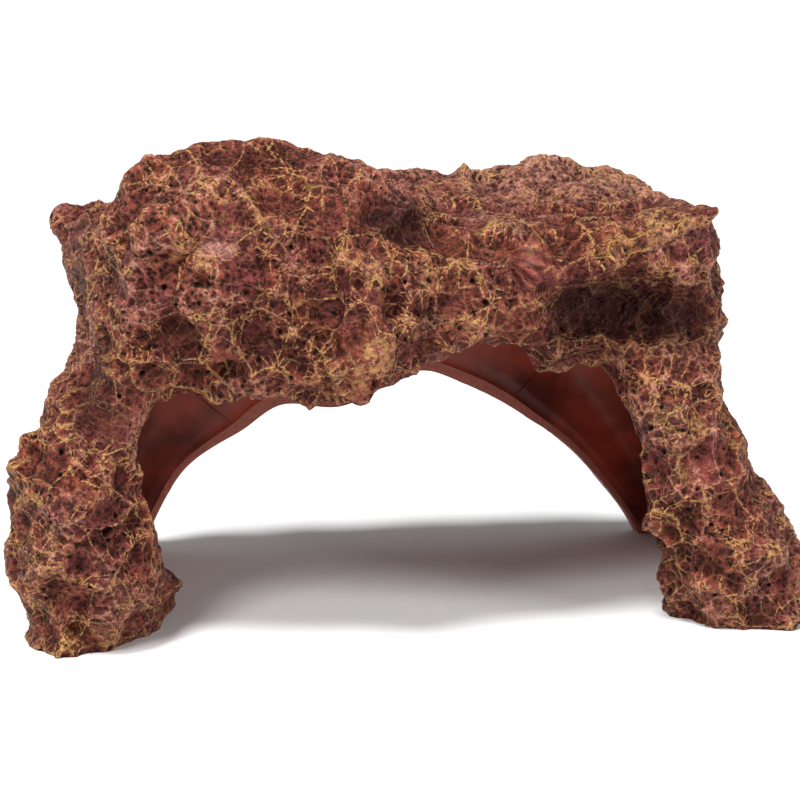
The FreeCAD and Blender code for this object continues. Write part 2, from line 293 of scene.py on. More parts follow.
DAUBS = [
    Daub(Pigment.OCHRE, [(101, 2.6), (102, 1.6), (103, 0.9)], 15, 0.9),
    Daub(Pigment.OCHRE, [(103.5, 2.75), (106, 2.0), (110, 1.1)], 5, 1.0),
    Daub(Pigment.OCHRE, [(112, 3.0), (106, 3.3)], 18, 0.55),
    Daub(Pigment.OCHRE, [(116, 1.2), (110, 1.0)], 12, 0.6),
    Daub(Pigment.OCHRE, [(90, 2.6), (84, 2.4)], 12, 0.55),
    Daub(Pigment.OCHRE, [(86, 1.3), (80, 1.2)], 12, 0.5),
    Daub(Pigment.OCHRE, [(74, 3.6), (65, 3.4), (57, 4.0)], 9, 0.8),
    Daub(Pigment.OCHRE, [(178, 1.6), (178, 2.6), (177, 3.4)], 11, 0.95),
    Daub(Pigment.OCHRE, [(168, 2.6), (160, 3.4)], 17, 0.6),
    Daub(Pigment.OCHRE, [(43, 1.4), (38, 2.0)], 9, 0.7),
    Daub(Pigment.OCHRE, [(6, 3.2), (14, 2.9)], 9, 0.6),
    # Painted shade: dark daubs in the recess under the ledge, beside the boulder's overhanging edge,
    # in the slab's crack and in hollows and holes.
    Daub(Pigment.PAINTED_SHADE, [(67, 2.0), (59, 2.0), (50, 2.4)], 24, 1.0),
    Daub(Pigment.PAINTED_SHADE, [(64, 0.6), (56, 0.8)], 12, 0.5),
    Daub(Pigment.PAINTED_SHADE, [(96, 3.3), (91, 3.7)], 14, 0.9),
    Daub(Pigment.PAINTED_SHADE, [(144, 2.2), (138, 3.0)], 17, 0.75),
    Daub(Pigment.PAINTED_SHADE, [(134, 4.6), (138, 4.2)], 15, 0.75),
    Daub(Pigment.PAINTED_SHADE, [(91, 1.7)], 10, 0.7),
    Daub(Pigment.PAINTED_SHADE, [(119, 3.4)], 8, 0.5),
    Daub(Pigment.PAINTED_SHADE, [(75, 5.2)], 12, 0.45),
    Daub(Pigment.PAINTED_SHADE, [(101.5, 2.3), (102.2, 1.7), (102.8, 0.8)], 1.5, 1.0),
    Daub(Pigment.MAUVE, [(118, 2.68), (116.5, 2.6)], 6, 0.9),
    Daub(Pigment.MAUVE, [(126, 1.7)], 9, 0.5),
    Daub(Pigment.MAUVE, [(99.5, 2.5)], 5, 0.6),
    Daub(Pigment.MAUVE, [(90, 0.6)], 6, 0.6),
    Daub(Pigment.MAUVE, [(130, 5.3), (127, 4.5)], 12, 0.7),
    Daub(Pigment.MAUVE, [(8, 2.3)], 9, 0.5),
    Daub(Pigment.CALM, [(101, 2.4), (102, 1.6), (104, 0.9)], 13, 0.35),
    Daub(Pigment.CALM, [(75.5, 3.2)], 15, 1.0),
    Daub(Pigment.CALM, [(118, 2.68), (116.5, 2.6)], 7, 0.9),
    Daub(Pigment.CALM, [(32.5, 1.9), (30.5, 1.75)], 9, 0.9),
    Daub(Pigment.CALM, [(144, 1.4), (141, 0.7)], 10, 0.7),
    # Lighter reddish paint on the top of the back, partly a painted highlight where the top faces
    # the light from above.
    Daub(Pigment.RUST_AND_HIGHLIGHT, [(84, 6.2), (70, 5.8), (58, 5.6)], 42, 1.0),
    Daub(Pigment.RUST_AND_HIGHLIGHT, [(30, 5.0), (8, 4.6)], 30, 0.35),
]


@dataclass(frozen=True)
class Fan:
    """The shell-like fan of ribs on the lintel.

    Args:
        hub: (angle, outline place) at which the ribs meet.
        reach: length of the ribs in mm.
        spread: half of the fan's opening, in radians.
        thickness: how far in front of the hub and behind it the fan goes, in mm.
        turns: ribs to half a turn.
        rib: height of the ribs in mm.
        bowl: depth in mm of the bowl in which they lie.
    """

    hub: tuple[float, float] = (79.5, 3.3)
    reach: float = 16.0
    spread: float = 1.35
    thickness: float = 15.0
    turns: float = 9.0
    rib: float = 2.8
    bowl: float = 3.4

    def over(self, away: np.ndarray) -> tuple[np.ndarray, np.ndarray, np.ndarray]:
        """Lay the fan over places round its hub.

        Args:
            away: (columns, rows, 3) array of places from the hub, in mm.

        Returns:
            Presence of the fan, height on its ribs and share of its reach, each 0 to 1.
        """
        reach = np.hypot(away[..., 0], away[..., 2])
        turn = np.arctan2(away[..., 2], away[..., 0])
        near = (abs(away[..., 1]) < self.thickness) & (abs(turn) < self.spread)
        window = np.clip(reach / 3, 0, 1) * np.clip((self.reach - reach) / 2, 0, 1)
        window = window * np.clip((self.spread - abs(turn)) / 0.25, 0, 1) * near
        ribs = abs(np.sin(turn * self.turns + 0.2 * np.sin(reach / 1.7)))
        return window, ribs, np.clip(reach / self.reach, 0, 1)


@dataclass
class Skin:
    """A grid of points over one side of the wall, columns along the arch, rows across it.

    Args:
        points: (columns, rows, 3) array in mm.
        normals: outward unit vectors of the same shape.
    """

    points: np.ndarray
    normals: np.ndarray


def blurred(grid: np.ndarray, axis: int, sigma: float) -> np.ndarray:
    """Gaussian blur along one axis that leaves the two ends where they are.

    Args:
        grid: array of points.
        axis: 0 along the arch, 1 across it.
        sigma: spread in samples.

    Returns:
        The blurred copy.
    """
    reach = min(int(3 * sigma), grid.shape[axis] - 1)
    work = np.moveaxis(grid, axis, 0)
    head = 2 * work[:1] - work[reach:0:-1]
    tail = 2 * work[-1:] - work[-2:-reach - 2:-1]
    padded = np.concatenate([head, work, tail])
    offsets = np.arange(-reach, reach + 1)
    weights = np.exp(-0.5 * (offsets / sigma) ** 2)
    weights /= weights.sum()
    out = np.zeros_like(work)
    for weight, offset in zip(weights, offsets):
        out += weight * padded[reach + offset:reach + offset + len(work)]
    return np.moveaxis(out, 0, axis)


def soft_fall(gap: np.ndarray, radius: float) -> np.ndarray:
    """A smooth hump over a gap in mm: 1 where there is none, 0 from the radius on."""
    return np.clip(1 - (gap / radius) ** 2, 0, 1) ** 2


def grid_normals(points: np.ndarray) -> np.ndarray:
    """Outward unit normals of a grid of points.

    Args:
        points: (columns, rows, 3) array.

    Returns:
        Array of the same shape.
    """
    across = np.gradient(points, axis=1)
    along = np.gradient(points, axis=0)
    normal = np.cross(across, along)
    normal /= np.linalg.norm(normal, axis=2, keepdims=True) + 1e-12
    return normal


@dataclass
class RockForm:
    """The whole rock's smooth form, before its rough surface.

    Args:
        column_step: spacing of columns in mm, at the mean reach.
        row_step: spacing of rows in mm.
        mean_reach: reach in mm at which columns are spaced.
        soften: rounding of the form's edges in mm.
        wall: thickness of a casting in mm.
        inside_soften: rounding of the hollow in mm.
        face_soften: rounding, in mm, of the form that the rough surface is raised from.
        dent_free: depth in mm that a dent may have before the wall behind it gives way.
        dent_soften: rounding of the wall behind dents, in mm.
        fan: the fan on the lintel.
        columns: number of the column at each section, filled in as the grid is laid.
        ridge: number of the row along the ridge, filled in likewise.
    """

    column_step: float = 0.6
    row_step: float = 0.55
    mean_reach: float = 150.0
    soften: float = 3.5
    wall: float = 7.0
    inside_soften: float = 8.0
    face_soften: float = 1.2
    dent_free: float = 1.0
    dent_soften: float = 3.0
    fan: Fan = Fan()
    columns: dict = field(default_factory=dict)
    ridge: int = 0

    def __post_init__(self) -> None:
        """Lay the grid, round it off and find its inner side."""
        outlines = np.array([section.outline for section in SECTIONS], float)
        angles = np.array([section.angle for section in SECTIONS], float)
        self.rows = self.row_places(outlines)
        stations = self.column_places(angles)
        tilt = np.radians(np.interp(stations, np.arange(len(angles)), angles))
        self.angles = np.degrees(tilt)
        drawn = self.between(self.between(outlines, stations, 0), self.rows, 1)
        depth, reach = drawn[..., 0], drawn[..., 1]
        points = np.stack([reach * np.cos(tilt)[:, None], depth,
                           reach * np.sin(tilt)[:, None]], axis=2)
        points = self.rounded(self.fitted(points), self.soften)
        for pull in PULLS:
            share = soft_fall(self.gap(points, pull.path), pull.radius)
            points = points + share[..., None] * np.array(pull.shift)
        points[[0, -1], :, 2] = 0
        base = self.rounded(points, self.inside_soften)
        points = self.sculpted(points)
        self.outside = Skin(points, grid_normals(self.rounded(points, self.face_soften)))
        self.inside = self.hollow(base, points)

    def hollow(self, base: np.ndarray, points: np.ndarray) -> Skin:
        """The wall's inner side, pushed in where the outside is dented.

        Args:
            base: the well rounded grid from which the wall is measured.
            points: the sculpted grid.

        Returns:
            The inner side, nowhere below the ground.
        """
        normals = grid_normals(base)
        dent = ((base - points) * normals).sum(axis=2, keepdims=True)
        dent = np.maximum(dent - self.dent_free, 0)
        inside = self.rounded(base - (self.wall + dent) * normals, self.dent_soften)
        inside[..., 2] = np.maximum(inside[..., 2], 0)
        inside[[0, -1], :, 2] = 0
        return Skin(inside, normals)

    def at(self, points: np.ndarray, place: tuple[float, float]) -> np.ndarray:
        """The point of the grid at an (angle, outline place)."""
        column = int(np.argmin(abs(self.angles - place[0])))
        return points[column, int(np.argmin(abs(self.rows - place[1])))]

    def gap(self, points: np.ndarray, path: list, closed: bool = False) -> np.ndarray:
        """Distance in mm of every point from a path on the rock.

        Args:
            points: the grid.
            path: (angle, outline place) points.
            closed: whether the path returns to its start.

        Returns:
            (columns, rows) array.
        """
        spots = [self.at(points, place) for place in path]
        spots += spots[:1] if closed or len(spots) == 1 else []
        gaps = np.full(points.shape[:2], np.inf)
        for start, stop in zip(spots, spots[1:]):
            leg = stop - start
            share = ((points - start) @ leg) / max(leg @ leg, 1e-9)
            foot = start + np.clip(share, 0, 1)[..., None] * leg
            gaps = np.minimum(gaps, np.linalg.norm(points - foot, axis=2))
        return gaps

    def within(self, path: list) -> np.ndarray:
        """Tell which grid points lie inside a closed path.

        Args:
            path: (angle, outline place) points.

        Returns:
            (columns, rows) array of truths.
        """
        across, along = np.meshgrid(self.rows, self.angles)
        inside = np.zeros(across.shape, bool)
        for (a, p), (b, q) in zip(path, path[1:] + path[:1]):
            if p != q:
                crossing = (p > across) != (q > across)
                inside ^= crossing & (along < (b - a) * (across - p) / (q - p) + a)
        return inside

    def sculpted(self, points: np.ndarray) -> np.ndarray:
        """Work every stroke, the fan and the holes into the grid.

        Args:
            points: the grid.

        Returns:
            The sculpted copy.
        """
        normals = grid_normals(points)
        rise = np.zeros(points.shape[:2])
        wobble = self.wobble(points)
        for stroke in STROKES:
            closed = stroke.touch is Touch.PLATE
            gap = self.gap(points, stroke.path, closed)
            if closed:
                signed = np.where(self.within(stroke.path), gap, -gap) + wobble
                share = np.clip(0.5 + signed / stroke.radius, 0, 1)
                share = share * share * (3 - 2 * share)
            elif stroke.touch is Touch.GROOVE:
                share = np.clip(1 - (gap + 0.8 * wobble) / stroke.radius, 0, 1) ** 1.3
            else:
                share = soft_fall(gap, stroke.radius)
            rise += share * stroke.depth
        window, ribs, share = self.fan.over(points - self.at(points, self.fan.hub))
        rise += window * (ribs * self.fan.rib - self.fan.bowl * np.sin(share * math.pi))
        for place, radius in HOLES:
            gap = np.linalg.norm(points - self.at(points, place), axis=2)
            rise -= HOLE_DEPTH * np.clip(1.15 - gap / radius, 0, 1) ** 0.7
        return points + rise[..., None] * normals

    @staticmethod
    def wobble(points: np.ndarray) -> np.ndarray:
        """Small wandering, in mm, that keeps stroke edges from running smooth."""
        x, y, z = np.moveaxis(points, 2, 0)
        return (np.sin(x / 2.3 + 1.7 * np.sin(z / 3.7)) * 0.5
                + np.sin(z / 1.9 + 1.3 * np.sin(x / 4.1 + y / 3.0)) * 0.4)

    def paint(self, pigment: Pigment) -> np.ndarray:
        """Lay one pigment on the rock.

        Args:
            pigment: which one.

        Returns:
            (columns, rows) array of how much lies there, 0 to 1.
        """
        points = self.outside.points
        coat = np.zeros(points.shape[:2])
        for daub in DAUBS:
            if daub.pigment is pigment:
                share = soft_fall(self.gap(points, daub.path), daub.radius)
                coat = np.maximum(coat, share * daub.strength)
        window, ribs, _ = self.fan.over(points - self.at(points, self.fan.hub))
        # The fan's grooves between its ribs get painted shade.
        if pigment is Pigment.PAINTED_SHADE:
            coat = np.maximum(coat, window * (1 - ribs) ** 0.7)
        if pigment is Pigment.CALM:
            coat = np.maximum(coat, window)
        return coat

    def row_places(self, outlines: np.ndarray) -> np.ndarray:
        """Space the rows evenly in mm, on average, and note which is the ridge.

        Args:
            outlines: (sections, outline points, 2) array in mm.

        Returns:
            The rows' places as outline point numbers.
        """
        legs = np.linalg.norm(np.diff(outlines, axis=1), axis=2).mean(axis=0)
        places = [0.0]
        for leg, length in enumerate(legs):
            if leg == RIDGE_POINT:
                self.ridge = len(places) - 1
            count = max(2, round(length / self.row_step))
            places += list(leg + np.arange(1, count + 1) / count)
        return np.array(places)

    def column_places(self, angles: np.ndarray) -> np.ndarray:
        """Space the columns evenly in mm, on average, and note the one at each section.

        Args:
            angles: the sections' angles in degrees.

        Returns:
            The columns' places as section numbers.
        """
        places = [0.0]
        self.columns = {SECTIONS[0].name: 0}
        for number, turn in enumerate(np.diff(angles)):
            count = round(math.radians(turn) * self.mean_reach / self.column_step)
            places += list(number + np.arange(1, count + 1) / count)
            self.columns[SECTIONS[number + 1].name] = len(places) - 1
        return np.array(places)

    @staticmethod
    def between(values: np.ndarray, places: np.ndarray, axis: int) -> np.ndarray:
        """Read values between their samples along one axis, in straight lines.

        Args:
            values: the samples.
            places: where to read, as sample numbers.
            axis: the axis along which to read.

        Returns:
            The values read.
        """
        low = np.minimum(places.astype(int), values.shape[axis] - 2)
        part = places - low
        shape = [1] * values.ndim
        shape[axis] = len(places)
        part = part.reshape(shape)
        return (np.take(values, low, axis) * (1 - part)
                + np.take(values, low + 1, axis) * part)

    @staticmethod
    def fitted(points: np.ndarray) -> np.ndarray:
        """Stretch a grid to fill the frame's box, standing on the ground.

        Args:
            points: the grid.

        Returns:
            The stretched copy, in mm.
        """
        low, high = (np.array(corner) / MM for corner in CAD_BOX)
        least = points.reshape(-1, 3).min(axis=0)
        most = points.reshape(-1, 3).max(axis=0)
        least[2] = 0
        return low + (points - least) * (high - low) / (most - least)

    def rounded(self, points: np.ndarray, spread: float) -> np.ndarray:
        """The grid blurred by a distance in mm both ways."""
        points = blurred(points, 0, spread / self.column_step)
        return blurred(points, 1, spread / self.row_step)


@dataclass
class LoopMesh:
    """Builds a closed piece from loops of points, one loop a column.

    Args:
        loops: (columns, points, 3) array in mm.
        upper: how many of each loop's points are on the outer side, the rest being inner.
        bands: visible band flags, one for each point of the loop.
    """

    loops: np.ndarray
    upper: int
    bands: np.ndarray

    def faces(self) -> tuple[np.ndarray, np.ndarray]:
        """Quads round the loops, and triangles over the two ends.

        Returns:
            Arrays of vertex numbers.
        """
        count, size = self.loops.shape[:2]
        column, place = np.meshgrid(np.arange(count - 1), np.arange(size), indexing="ij")
        after = (place + 1) % size
        quads = np.stack([column * size + place, (column + 1) * size + place,
                          (column + 1) * size + after, column * size + after], axis=2)
        start = self.cap(0)
        end = self.cap(count - 1)[:, ::-1] + (count - 1) * size
        return quads.reshape(-1, 4), np.concatenate([start, end])

    def cap(self, column: int) -> np.ndarray:
        """Close one end loop with triangles between its outer and its inner chain.

        Args:
            column: number of the loop.

        Returns:
            (triangles, 3) array of places in the loop.
        """
        size = self.loops.shape[1]
        outer = np.arange(self.upper)
        inner = np.arange(size - 1, self.upper - 1, -1)
        marks = [self.measure(self.loops[column], chain) for chain in (outer, inner)]
        faces, a, b = [], 0, 0
        while a < len(outer) - 1 or b < len(inner) - 1:
            step_outer = b == len(inner) - 1 or (
                a < len(outer) - 1 and marks[0][a + 1] <= marks[1][b + 1])
            if step_outer:
                faces.append((outer[a], outer[a + 1], inner[b]))
                a += 1
            else:
                faces.append((outer[a], inner[b + 1], inner[b]))
                b += 1
        return np.array(faces)

    @staticmethod
    def measure(loop: np.ndarray, chain: np.ndarray) -> np.ndarray:
        """Measure a chain of a loop's points.

        Args:
            loop: the loop's points.
            chain: their numbers, in order.

        Returns:
            Share of the chain's length at each of them, 0 to 1.
        """
        steps = np.linalg.norm(np.diff(loop[chain], axis=0), axis=1)
        marks = np.concatenate([[0.0], np.cumsum(steps)])
        return marks / marks[-1]

    def atlas(self) -> tuple[np.ndarray, np.ndarray]:
        """Bake-map places of the quads' and the end triangles' corners.

        Returns:
            (quads, 4, 2) and (triangles, 3, 2) arrays within 0 to 1.
        """
        count, size = self.loops.shape[:2]
        middle = self.loops[count // 2]
        steps = np.linalg.norm(np.roll(middle, -1, axis=0) - middle, axis=1)
        low = np.zeros(size)
        high = np.zeros(size)
        for seen in (True, False):
            chosen = np.flatnonzero(self.bands == seen)
            marks = np.concatenate([[0.0], np.cumsum(steps[chosen])])
            marks = 0.01 + 0.98 * marks / marks[-1]
            low[chosen], high[chosen] = marks[:-1], marks[1:]
        share = np.linspace(0, 1, count)
        floor = np.where(self.bands, 0.24, 0.13)
        rise = np.where(self.bands, 0.75, 0.08)
        near = floor[None, :] + rise[None, :] * share[:-1, None]
        far = floor[None, :] + rise[None, :] * share[1:, None]
        left = np.broadcast_to(low, near.shape)
        right = np.broadcast_to(high, near.shape)
        corners = [(left, near), (left, far), (right, far), (right, near)]
        quads = np.stack([np.stack(pair, axis=2) for pair in corners], axis=2)
        ends = []
        for column, base in ((0, 0.01), (count - 1, 0.07)):
            faces = self.cap(column)
            flat = self.flat_end(self.loops[column], base)
            if column:
                faces = faces[:, ::-1]
            ends.append(flat[faces])
        return quads.reshape(-1, 4, 2), np.concatenate(ends)

    def flat_end(self, loop: np.ndarray, base: float) -> np.ndarray:
        """Lay an end loop flat in a thin strip of the bake map.

        Args:
            loop: the loop's points.
            base: bottom of the strip.

        Returns:
            (points, 2) array of places in the map.
        """
        size = len(loop)
        places = np.zeros((size, 2))
        outer = np.arange(self.upper)
        inner = np.arange(size - 1, self.upper - 1, -1)
        places[outer] = np.stack([0.01 + 0.98 * self.measure(loop, outer),
                                  np.full(len(outer), base + 0.05)], axis=1)
        places[inner] = np.stack([0.01 + 0.98 * self.measure(loop, inner),
                                  np.full(len(inner), base)], axis=1)
        return places

    def build(self, name: str, marks: dict[str, np.ndarray]) -> bpy.types.Object:
        """Make the piece.

        Args:
            name: the object's name.
            marks: point attributes by name, floats or vectors, one for each loop point.

        Returns:
            The new object, in metres.
        """
        quads, ends = self.faces()
        quad_map, end_map = self.atlas()
        mesh = bpy.data.meshes.new(name)
        mesh.vertices.add(self.loops.shape[0] * self.loops.shape[1])
        mesh.vertices.foreach_set("co", (self.loops * MM).astype(np.float32).ravel())
        corners = np.concatenate([quads.ravel(), ends.ravel()]).astype(np.int32)
        starts = np.concatenate([np.arange(len(quads)) * 4,
                                 len(quads) * 4 + np.arange(len(ends)) * 3])
        mesh.loops.add(len(corners))
        mesh.loops.foreach_set("vertex_index", corners)
        mesh.polygons.add(len(starts))
        mesh.polygons.foreach_set("loop_start", starts.astype(np.int32))
        mesh.update(calc_edges=True)
        places = np.concatenate([quad_map.reshape(-1, 2), end_map.reshape(-1, 2)])
        bake = mesh.uv_layers.new(name=BAKE_MAP)
        bake.data.foreach_set("uv", places.astype(np.float32).ravel())
        for title, values in marks.items():
            kind = "FLOAT_VECTOR" if values.ndim == 3 else "FLOAT"
            layer = mesh.attributes.new(title, kind, "POINT")
            layer.data.foreach_set("vector" if values.ndim == 3 else "value",
                                   values.astype(np.float32).ravel())
        flat = mesh.attributes.new("sharp_face", "BOOLEAN", "FACE")
        flat.data.foreach_set("value", np.arange(len(starts)) >= len(quads))
        mesh.validate()
        piece = bpy.data.objects.new(name, mesh)
        bpy.context.scene.collection.objects.link(piece)
        return piece


class NodeSheet:
    """Short ways to wire a node tree, of geometry or shader kind alike."""

    def __init__(self, tree: bpy.types.NodeTree) -> None:
        """Hold the tree."""
        self.tree = tree

    def node(self, kind: str, settings: dict | None = None, **inputs: object) -> bpy.types.Node:
        """Add a node.

        Args:
            kind: its type name.
            settings: its properties.
            inputs: sockets by name, with underscores for spaces; a socket is linked.

        Returns:
            The node.
        """
        made = self.tree.nodes.new(kind)
        for key, value in (settings or {}).items():
            setattr(made, key, value)
        for key, value in inputs.items():
            self.feed(made.inputs[key.replace("_", " ")], value)
        return made

    def feed(self, socket: bpy.types.NodeSocket, value: object) -> None:
        """Link or set one input."""
        if isinstance(value, bpy.types.NodeSocket):
            self.tree.links.new(value, socket)
        else:
            socket.default_value = value

    def math(self, operation: str, *values: object, clamp: bool = False) -> bpy.types.NodeSocket:
        """Add a sum, product or the like of numbers.

        Args:
            operation: what it does.
            values: its numbers, in order.
            clamp: whether the result is kept within 0 to 1.

        Returns:
            The result.
        """
        made = self.node("ShaderNodeMath", {"operation": operation, "use_clamp": clamp})
        for socket, value in zip(made.inputs, values):
            self.feed(socket, value)
        return made.outputs[0]

    def times(self, one: object, two: object) -> bpy.types.NodeSocket:
        """One times two."""
        return self.math("MULTIPLY", one, two)

    def times_plus(self, one: object, two: object, three: object) -> bpy.types.NodeSocket:
        """One times two, plus three."""
        return self.math("MULTIPLY_ADD", one, two, three)

    def vector(self, operation: str, *values: object) -> bpy.types.NodeSocket:
        """Add a vector sum, product or the like.

        Args:
            operation: what it does.
            values: its vectors; SCALE takes a vector and a number.

        Returns:
            The result.
        """
        made = self.node("ShaderNodeVectorMath", {"operation": operation})
        if operation == "SCALE":
            self.feed(made.inputs[0], values[0])
            self.feed(made.inputs["Scale"], values[1])
            return made.outputs[0]
        for socket, value in zip(made.inputs, values):
            self.feed(socket, value)
        return made.outputs[0]

    def ramp(self, value: object, low: float, high: float, start: float = 0.0,
             end: float = 1.0) -> bpy.types.NodeSocket:
        """Add a smooth step.

        Args:
            value: the number that it reads.
            low: where the step begins.
            high: where it ends; below low, the step runs backwards.
            start: what it gives up to low.
            end: what it gives from high on.

        Returns:
            The result.
        """
        made = self.node("ShaderNodeMapRange", {"interpolation_type": "SMOOTHSTEP"})
        for key, item in (("Value", value), ("From Min", low), ("From Max", high),
                          ("To Min", start), ("To Max", end)):
            self.feed(made.inputs[key], item)
        return made.outputs[0]

    def noise(self, place: object, size: float, detail: float = 2.0,
              roughness: float = 0.5) -> bpy.types.Node:
        """Cloudy noise with lumps of about a size in mm."""
        return self.node("ShaderNodeTexNoise", Vector=place, Scale=1 / size, Detail=detail,
                         Roughness=roughness)

    def cells(self, place: object, size: float, feature: str) -> bpy.types.Node:
        """Voronoi cells of about a size in mm."""
        return self.node("ShaderNodeTexVoronoi", {"feature": feature}, Vector=place,
                         Scale=1 / size)

    def mix(self, share: object, one: object, two: object) -> bpy.types.NodeSocket:
        """Colour between one and two."""
        made = self.node("ShaderNodeMix", {"data_type": "RGBA"})
        for index, item in ((0, share), (6, one), (7, two)):
            self.feed(made.inputs[index], item)
        return made.outputs[2]


class Layer(NamedTuple):
    """A layer of scooped cells: usual cell, depth, and half width of its seams, all in mm."""

    size: float
    depth: float
    seam: float


class Patches(NamedTuple):
    """Cloudy patches in which a layer is at its strongest.

    Args:
        size: usual patch in mm.
        low: noise value at which a patch begins.
        high: noise value from which the layer is at its strongest.
        least: share of the layer that is left between patches.
    """

    size: float
    low: float
    high: float
    least: float


class Drawn(NamedTuple):
    """Sockets of the drawn surface, from 0 to 1 unless said otherwise.

    Args:
        height: height of the surface in mm.
        push: vector in mm that crinkles every layer.
        facet: how deep in a facet's scoop a place is.
        fold: the same for the folds.
        rill: the same for the rills.
        chip: the same for the chips.
        pit: presence of a gas pit.
        rough: strength of the rills and chips.
        facet_seam: presence of the seams along the facets' crests.
        fold_seam: the same for the folds.
        rill_seam: the same for the rills.
    """

    height: bpy.types.NodeSocket
    push: bpy.types.NodeSocket
    facet: bpy.types.NodeSocket
    fold: bpy.types.NodeSocket
    rill: bpy.types.NodeSocket
    chip: bpy.types.NodeSocket
    pit: bpy.types.NodeSocket
    rough: bpy.types.NodeSocket
    facet_seam: bpy.types.NodeSocket
    fold_seam: bpy.types.NodeSocket
    rill_seam: bpy.types.NodeSocket


@dataclass(frozen=True)
class StoneGrain:
    """The rock's surface, layer on layer of scooped cells. All sizes are in mm.

    Args:
        crag: size and height of the broad crags.
        facet: large scoops between sharp crests.
        fold: scoops within them.
        rill: smaller scoops again.
        chip: small chips.
        pit: spacing and depth of the gas pits.
        crumb: size and height of the crumbs over everything.
        bold: where the facets are at their strongest.
        worn: where the folds are.
        rough: where the rills and chips are.
        lift: height at which the surface lies before the scoops are cut.
        floor: deepest that the layers together may cut.
        floor_round: rounding of that floor.
        stray: how far crests wander from straight, as a share of their cells' size.
        crinkle: size and strength of the fine crinkles in every crest.
    """

    crag: tuple[float, float] = (28.0, 4.5)
    facet: Layer = Layer(17.0, 6.4, 0.42)
    fold: Layer = Layer(8.5, 2.0, 0.33)
    rill: Layer = Layer(3.9, 0.9, 0.23)
    chip: Layer = Layer(1.9, 0.4, 0.14)
    pit: tuple[float, float] = (4.0, 1.4)
    crumb: tuple[float, float] = (2.6, 0.7)
    bold: Patches = Patches(34.0, 0.38, 0.60, 0.35)
    worn: Patches = Patches(15.0, 0.36, 0.60, 0.35)
    rough: Patches = Patches(11.0, 0.40, 0.56, 0.20)
    lift: float = 2.6
    floor: float = 4.2
    floor_round: float = 1.5
    stray: float = 0.5
    crinkle: tuple[float, float] = (1.9, 0.5)

    def draw(self, sheet: NodeSheet, place: bpy.types.NodeSocket) -> Drawn:
        """Draw the surface in a geometry or shader tree, the same in both.

        Args:
            sheet: the tree.
            place: place on the smooth form, in mm.

        Returns:
            The drawn surface.
        """
        fine = self.warped(sheet, place, *self.crinkle)
        size, rise = self.crag
        crag = sheet.noise(place, size, 4.0, 0.5).outputs["Fac"]
        height = sheet.times_plus(crag, rise * 2, self.lift - rise)
        facet, facet_seam = self.scoops(sheet, fine, self.facet.size, self.facet.seam)
        fold, fold_seam = self.scoops(sheet, fine, self.fold.size, self.fold.seam)
        rill, rill_seam = self.scoops(sheet, fine, self.rill.size, self.rill.seam)
        chip, _ = self.scoops(sheet, fine, self.chip.size, self.chip.seam)
        pit = self.pits(sheet, fine)
        bold = self.strength(sheet, place, self.bold)
        worn = self.strength(sheet, place, self.worn)
        rough = self.strength(sheet, place, self.rough)
        for depth, cut in ((self.facet.depth, sheet.times(facet, bold)),
                           (self.fold.depth, sheet.times(fold, worn)),
                           (self.rill.depth, sheet.times(rill, rough)),
                           (self.chip.depth, sheet.times(chip, rough)),
                           (self.pit[1], pit)):
            height = sheet.times_plus(cut, -depth, height)
        size, rise = self.crumb
        crumb = sheet.noise(place, size, 3.0, 0.6).outputs["Fac"]
        height = sheet.times_plus(crumb, rise, height)
        height = sheet.math("SMOOTH_MAX", height, -self.floor, self.floor_round)
        push = sheet.vector("SUBTRACT", fine, place)
        return Drawn(height, push, facet, fold, rill, chip, pit, rough,
                     facet_seam, fold_seam, rill_seam)

    @staticmethod
    def strength(sheet: NodeSheet, place: bpy.types.NodeSocket,
                 patches: Patches) -> bpy.types.NodeSocket:
        """Strength of a layer in its patches and between them, up to 1."""
        cloud = sheet.noise(place, patches.size, 2.0).outputs["Fac"]
        return sheet.ramp(cloud, patches.low, patches.high, patches.least, 1.0)

    def pits(self, sheet: NodeSheet, place: bpy.types.NodeSocket) -> bpy.types.NodeSocket:
        """Sink round gas pits of mixed width into some of the cells.

        Args:
            sheet: the tree.
            place: place in mm.

        Returns:
            Presence of a pit, 0 to 1.
        """
        hole = sheet.cells(place, self.pit[0], "F1")
        chance = sheet.node("ShaderNodeSeparateXYZ", Vector=hole.outputs["Color"])
        rare = sheet.ramp(chance.outputs[0], 0.56, 0.6)
        width = sheet.times_plus(chance.outputs[1], 0.18, 0.13)
        across = sheet.math("DIVIDE", hole.outputs["Distance"], width)
        return sheet.times(rare, sheet.ramp(across, 0.6, 1.1, 1.0, 0.0))

    def scoops(self, sheet: NodeSheet, place: bpy.types.NodeSocket, size: float,
               seam: float) -> tuple[bpy.types.NodeSocket, bpy.types.NodeSocket]:
        """Scooped cells that meet in sharp crests.

        Args:
            sheet: the tree.
            place: place in mm.
            size: usual cell in mm.
            seam: half width of the seam along a crest, in mm.

        Returns:
            Depth of the scoop and presence of the seam, each 0 to 1.
        """
        place = self.warped(sheet, place, size * 1.3, size * self.stray)
        middle = sheet.cells(place, size, "F1").outputs["Distance"]
        far = sheet.math("DIVIDE", middle, 0.72)
        scoop = sheet.math("SUBTRACT", 1.0, sheet.times(far, far), clamp=True)
        edge = sheet.cells(place, size, "DISTANCE_TO_EDGE").outputs["Distance"]
        ragged = sheet.noise(place, 0.9, 1.0).outputs["Fac"]
        edge = sheet.times_plus(ragged, 2.4 * seam / size, edge)
        return scoop, sheet.ramp(edge, 1.2 * seam / size, 2.2 * seam / size, 1.0, 0.0)

    @staticmethod
    def warped(sheet: NodeSheet, place: bpy.types.NodeSocket, size: float,
               strength: float) -> bpy.types.NodeSocket:
        """A place pushed about by noise of a size and a strength in mm."""
        push = sheet.noise(place, size, 1.0).outputs["Color"]
        push = sheet.vector("SUBTRACT", push, (0.5, 0.5, 0.5))
        return sheet.vector("ADD", place, sheet.vector("SCALE", push, strength))


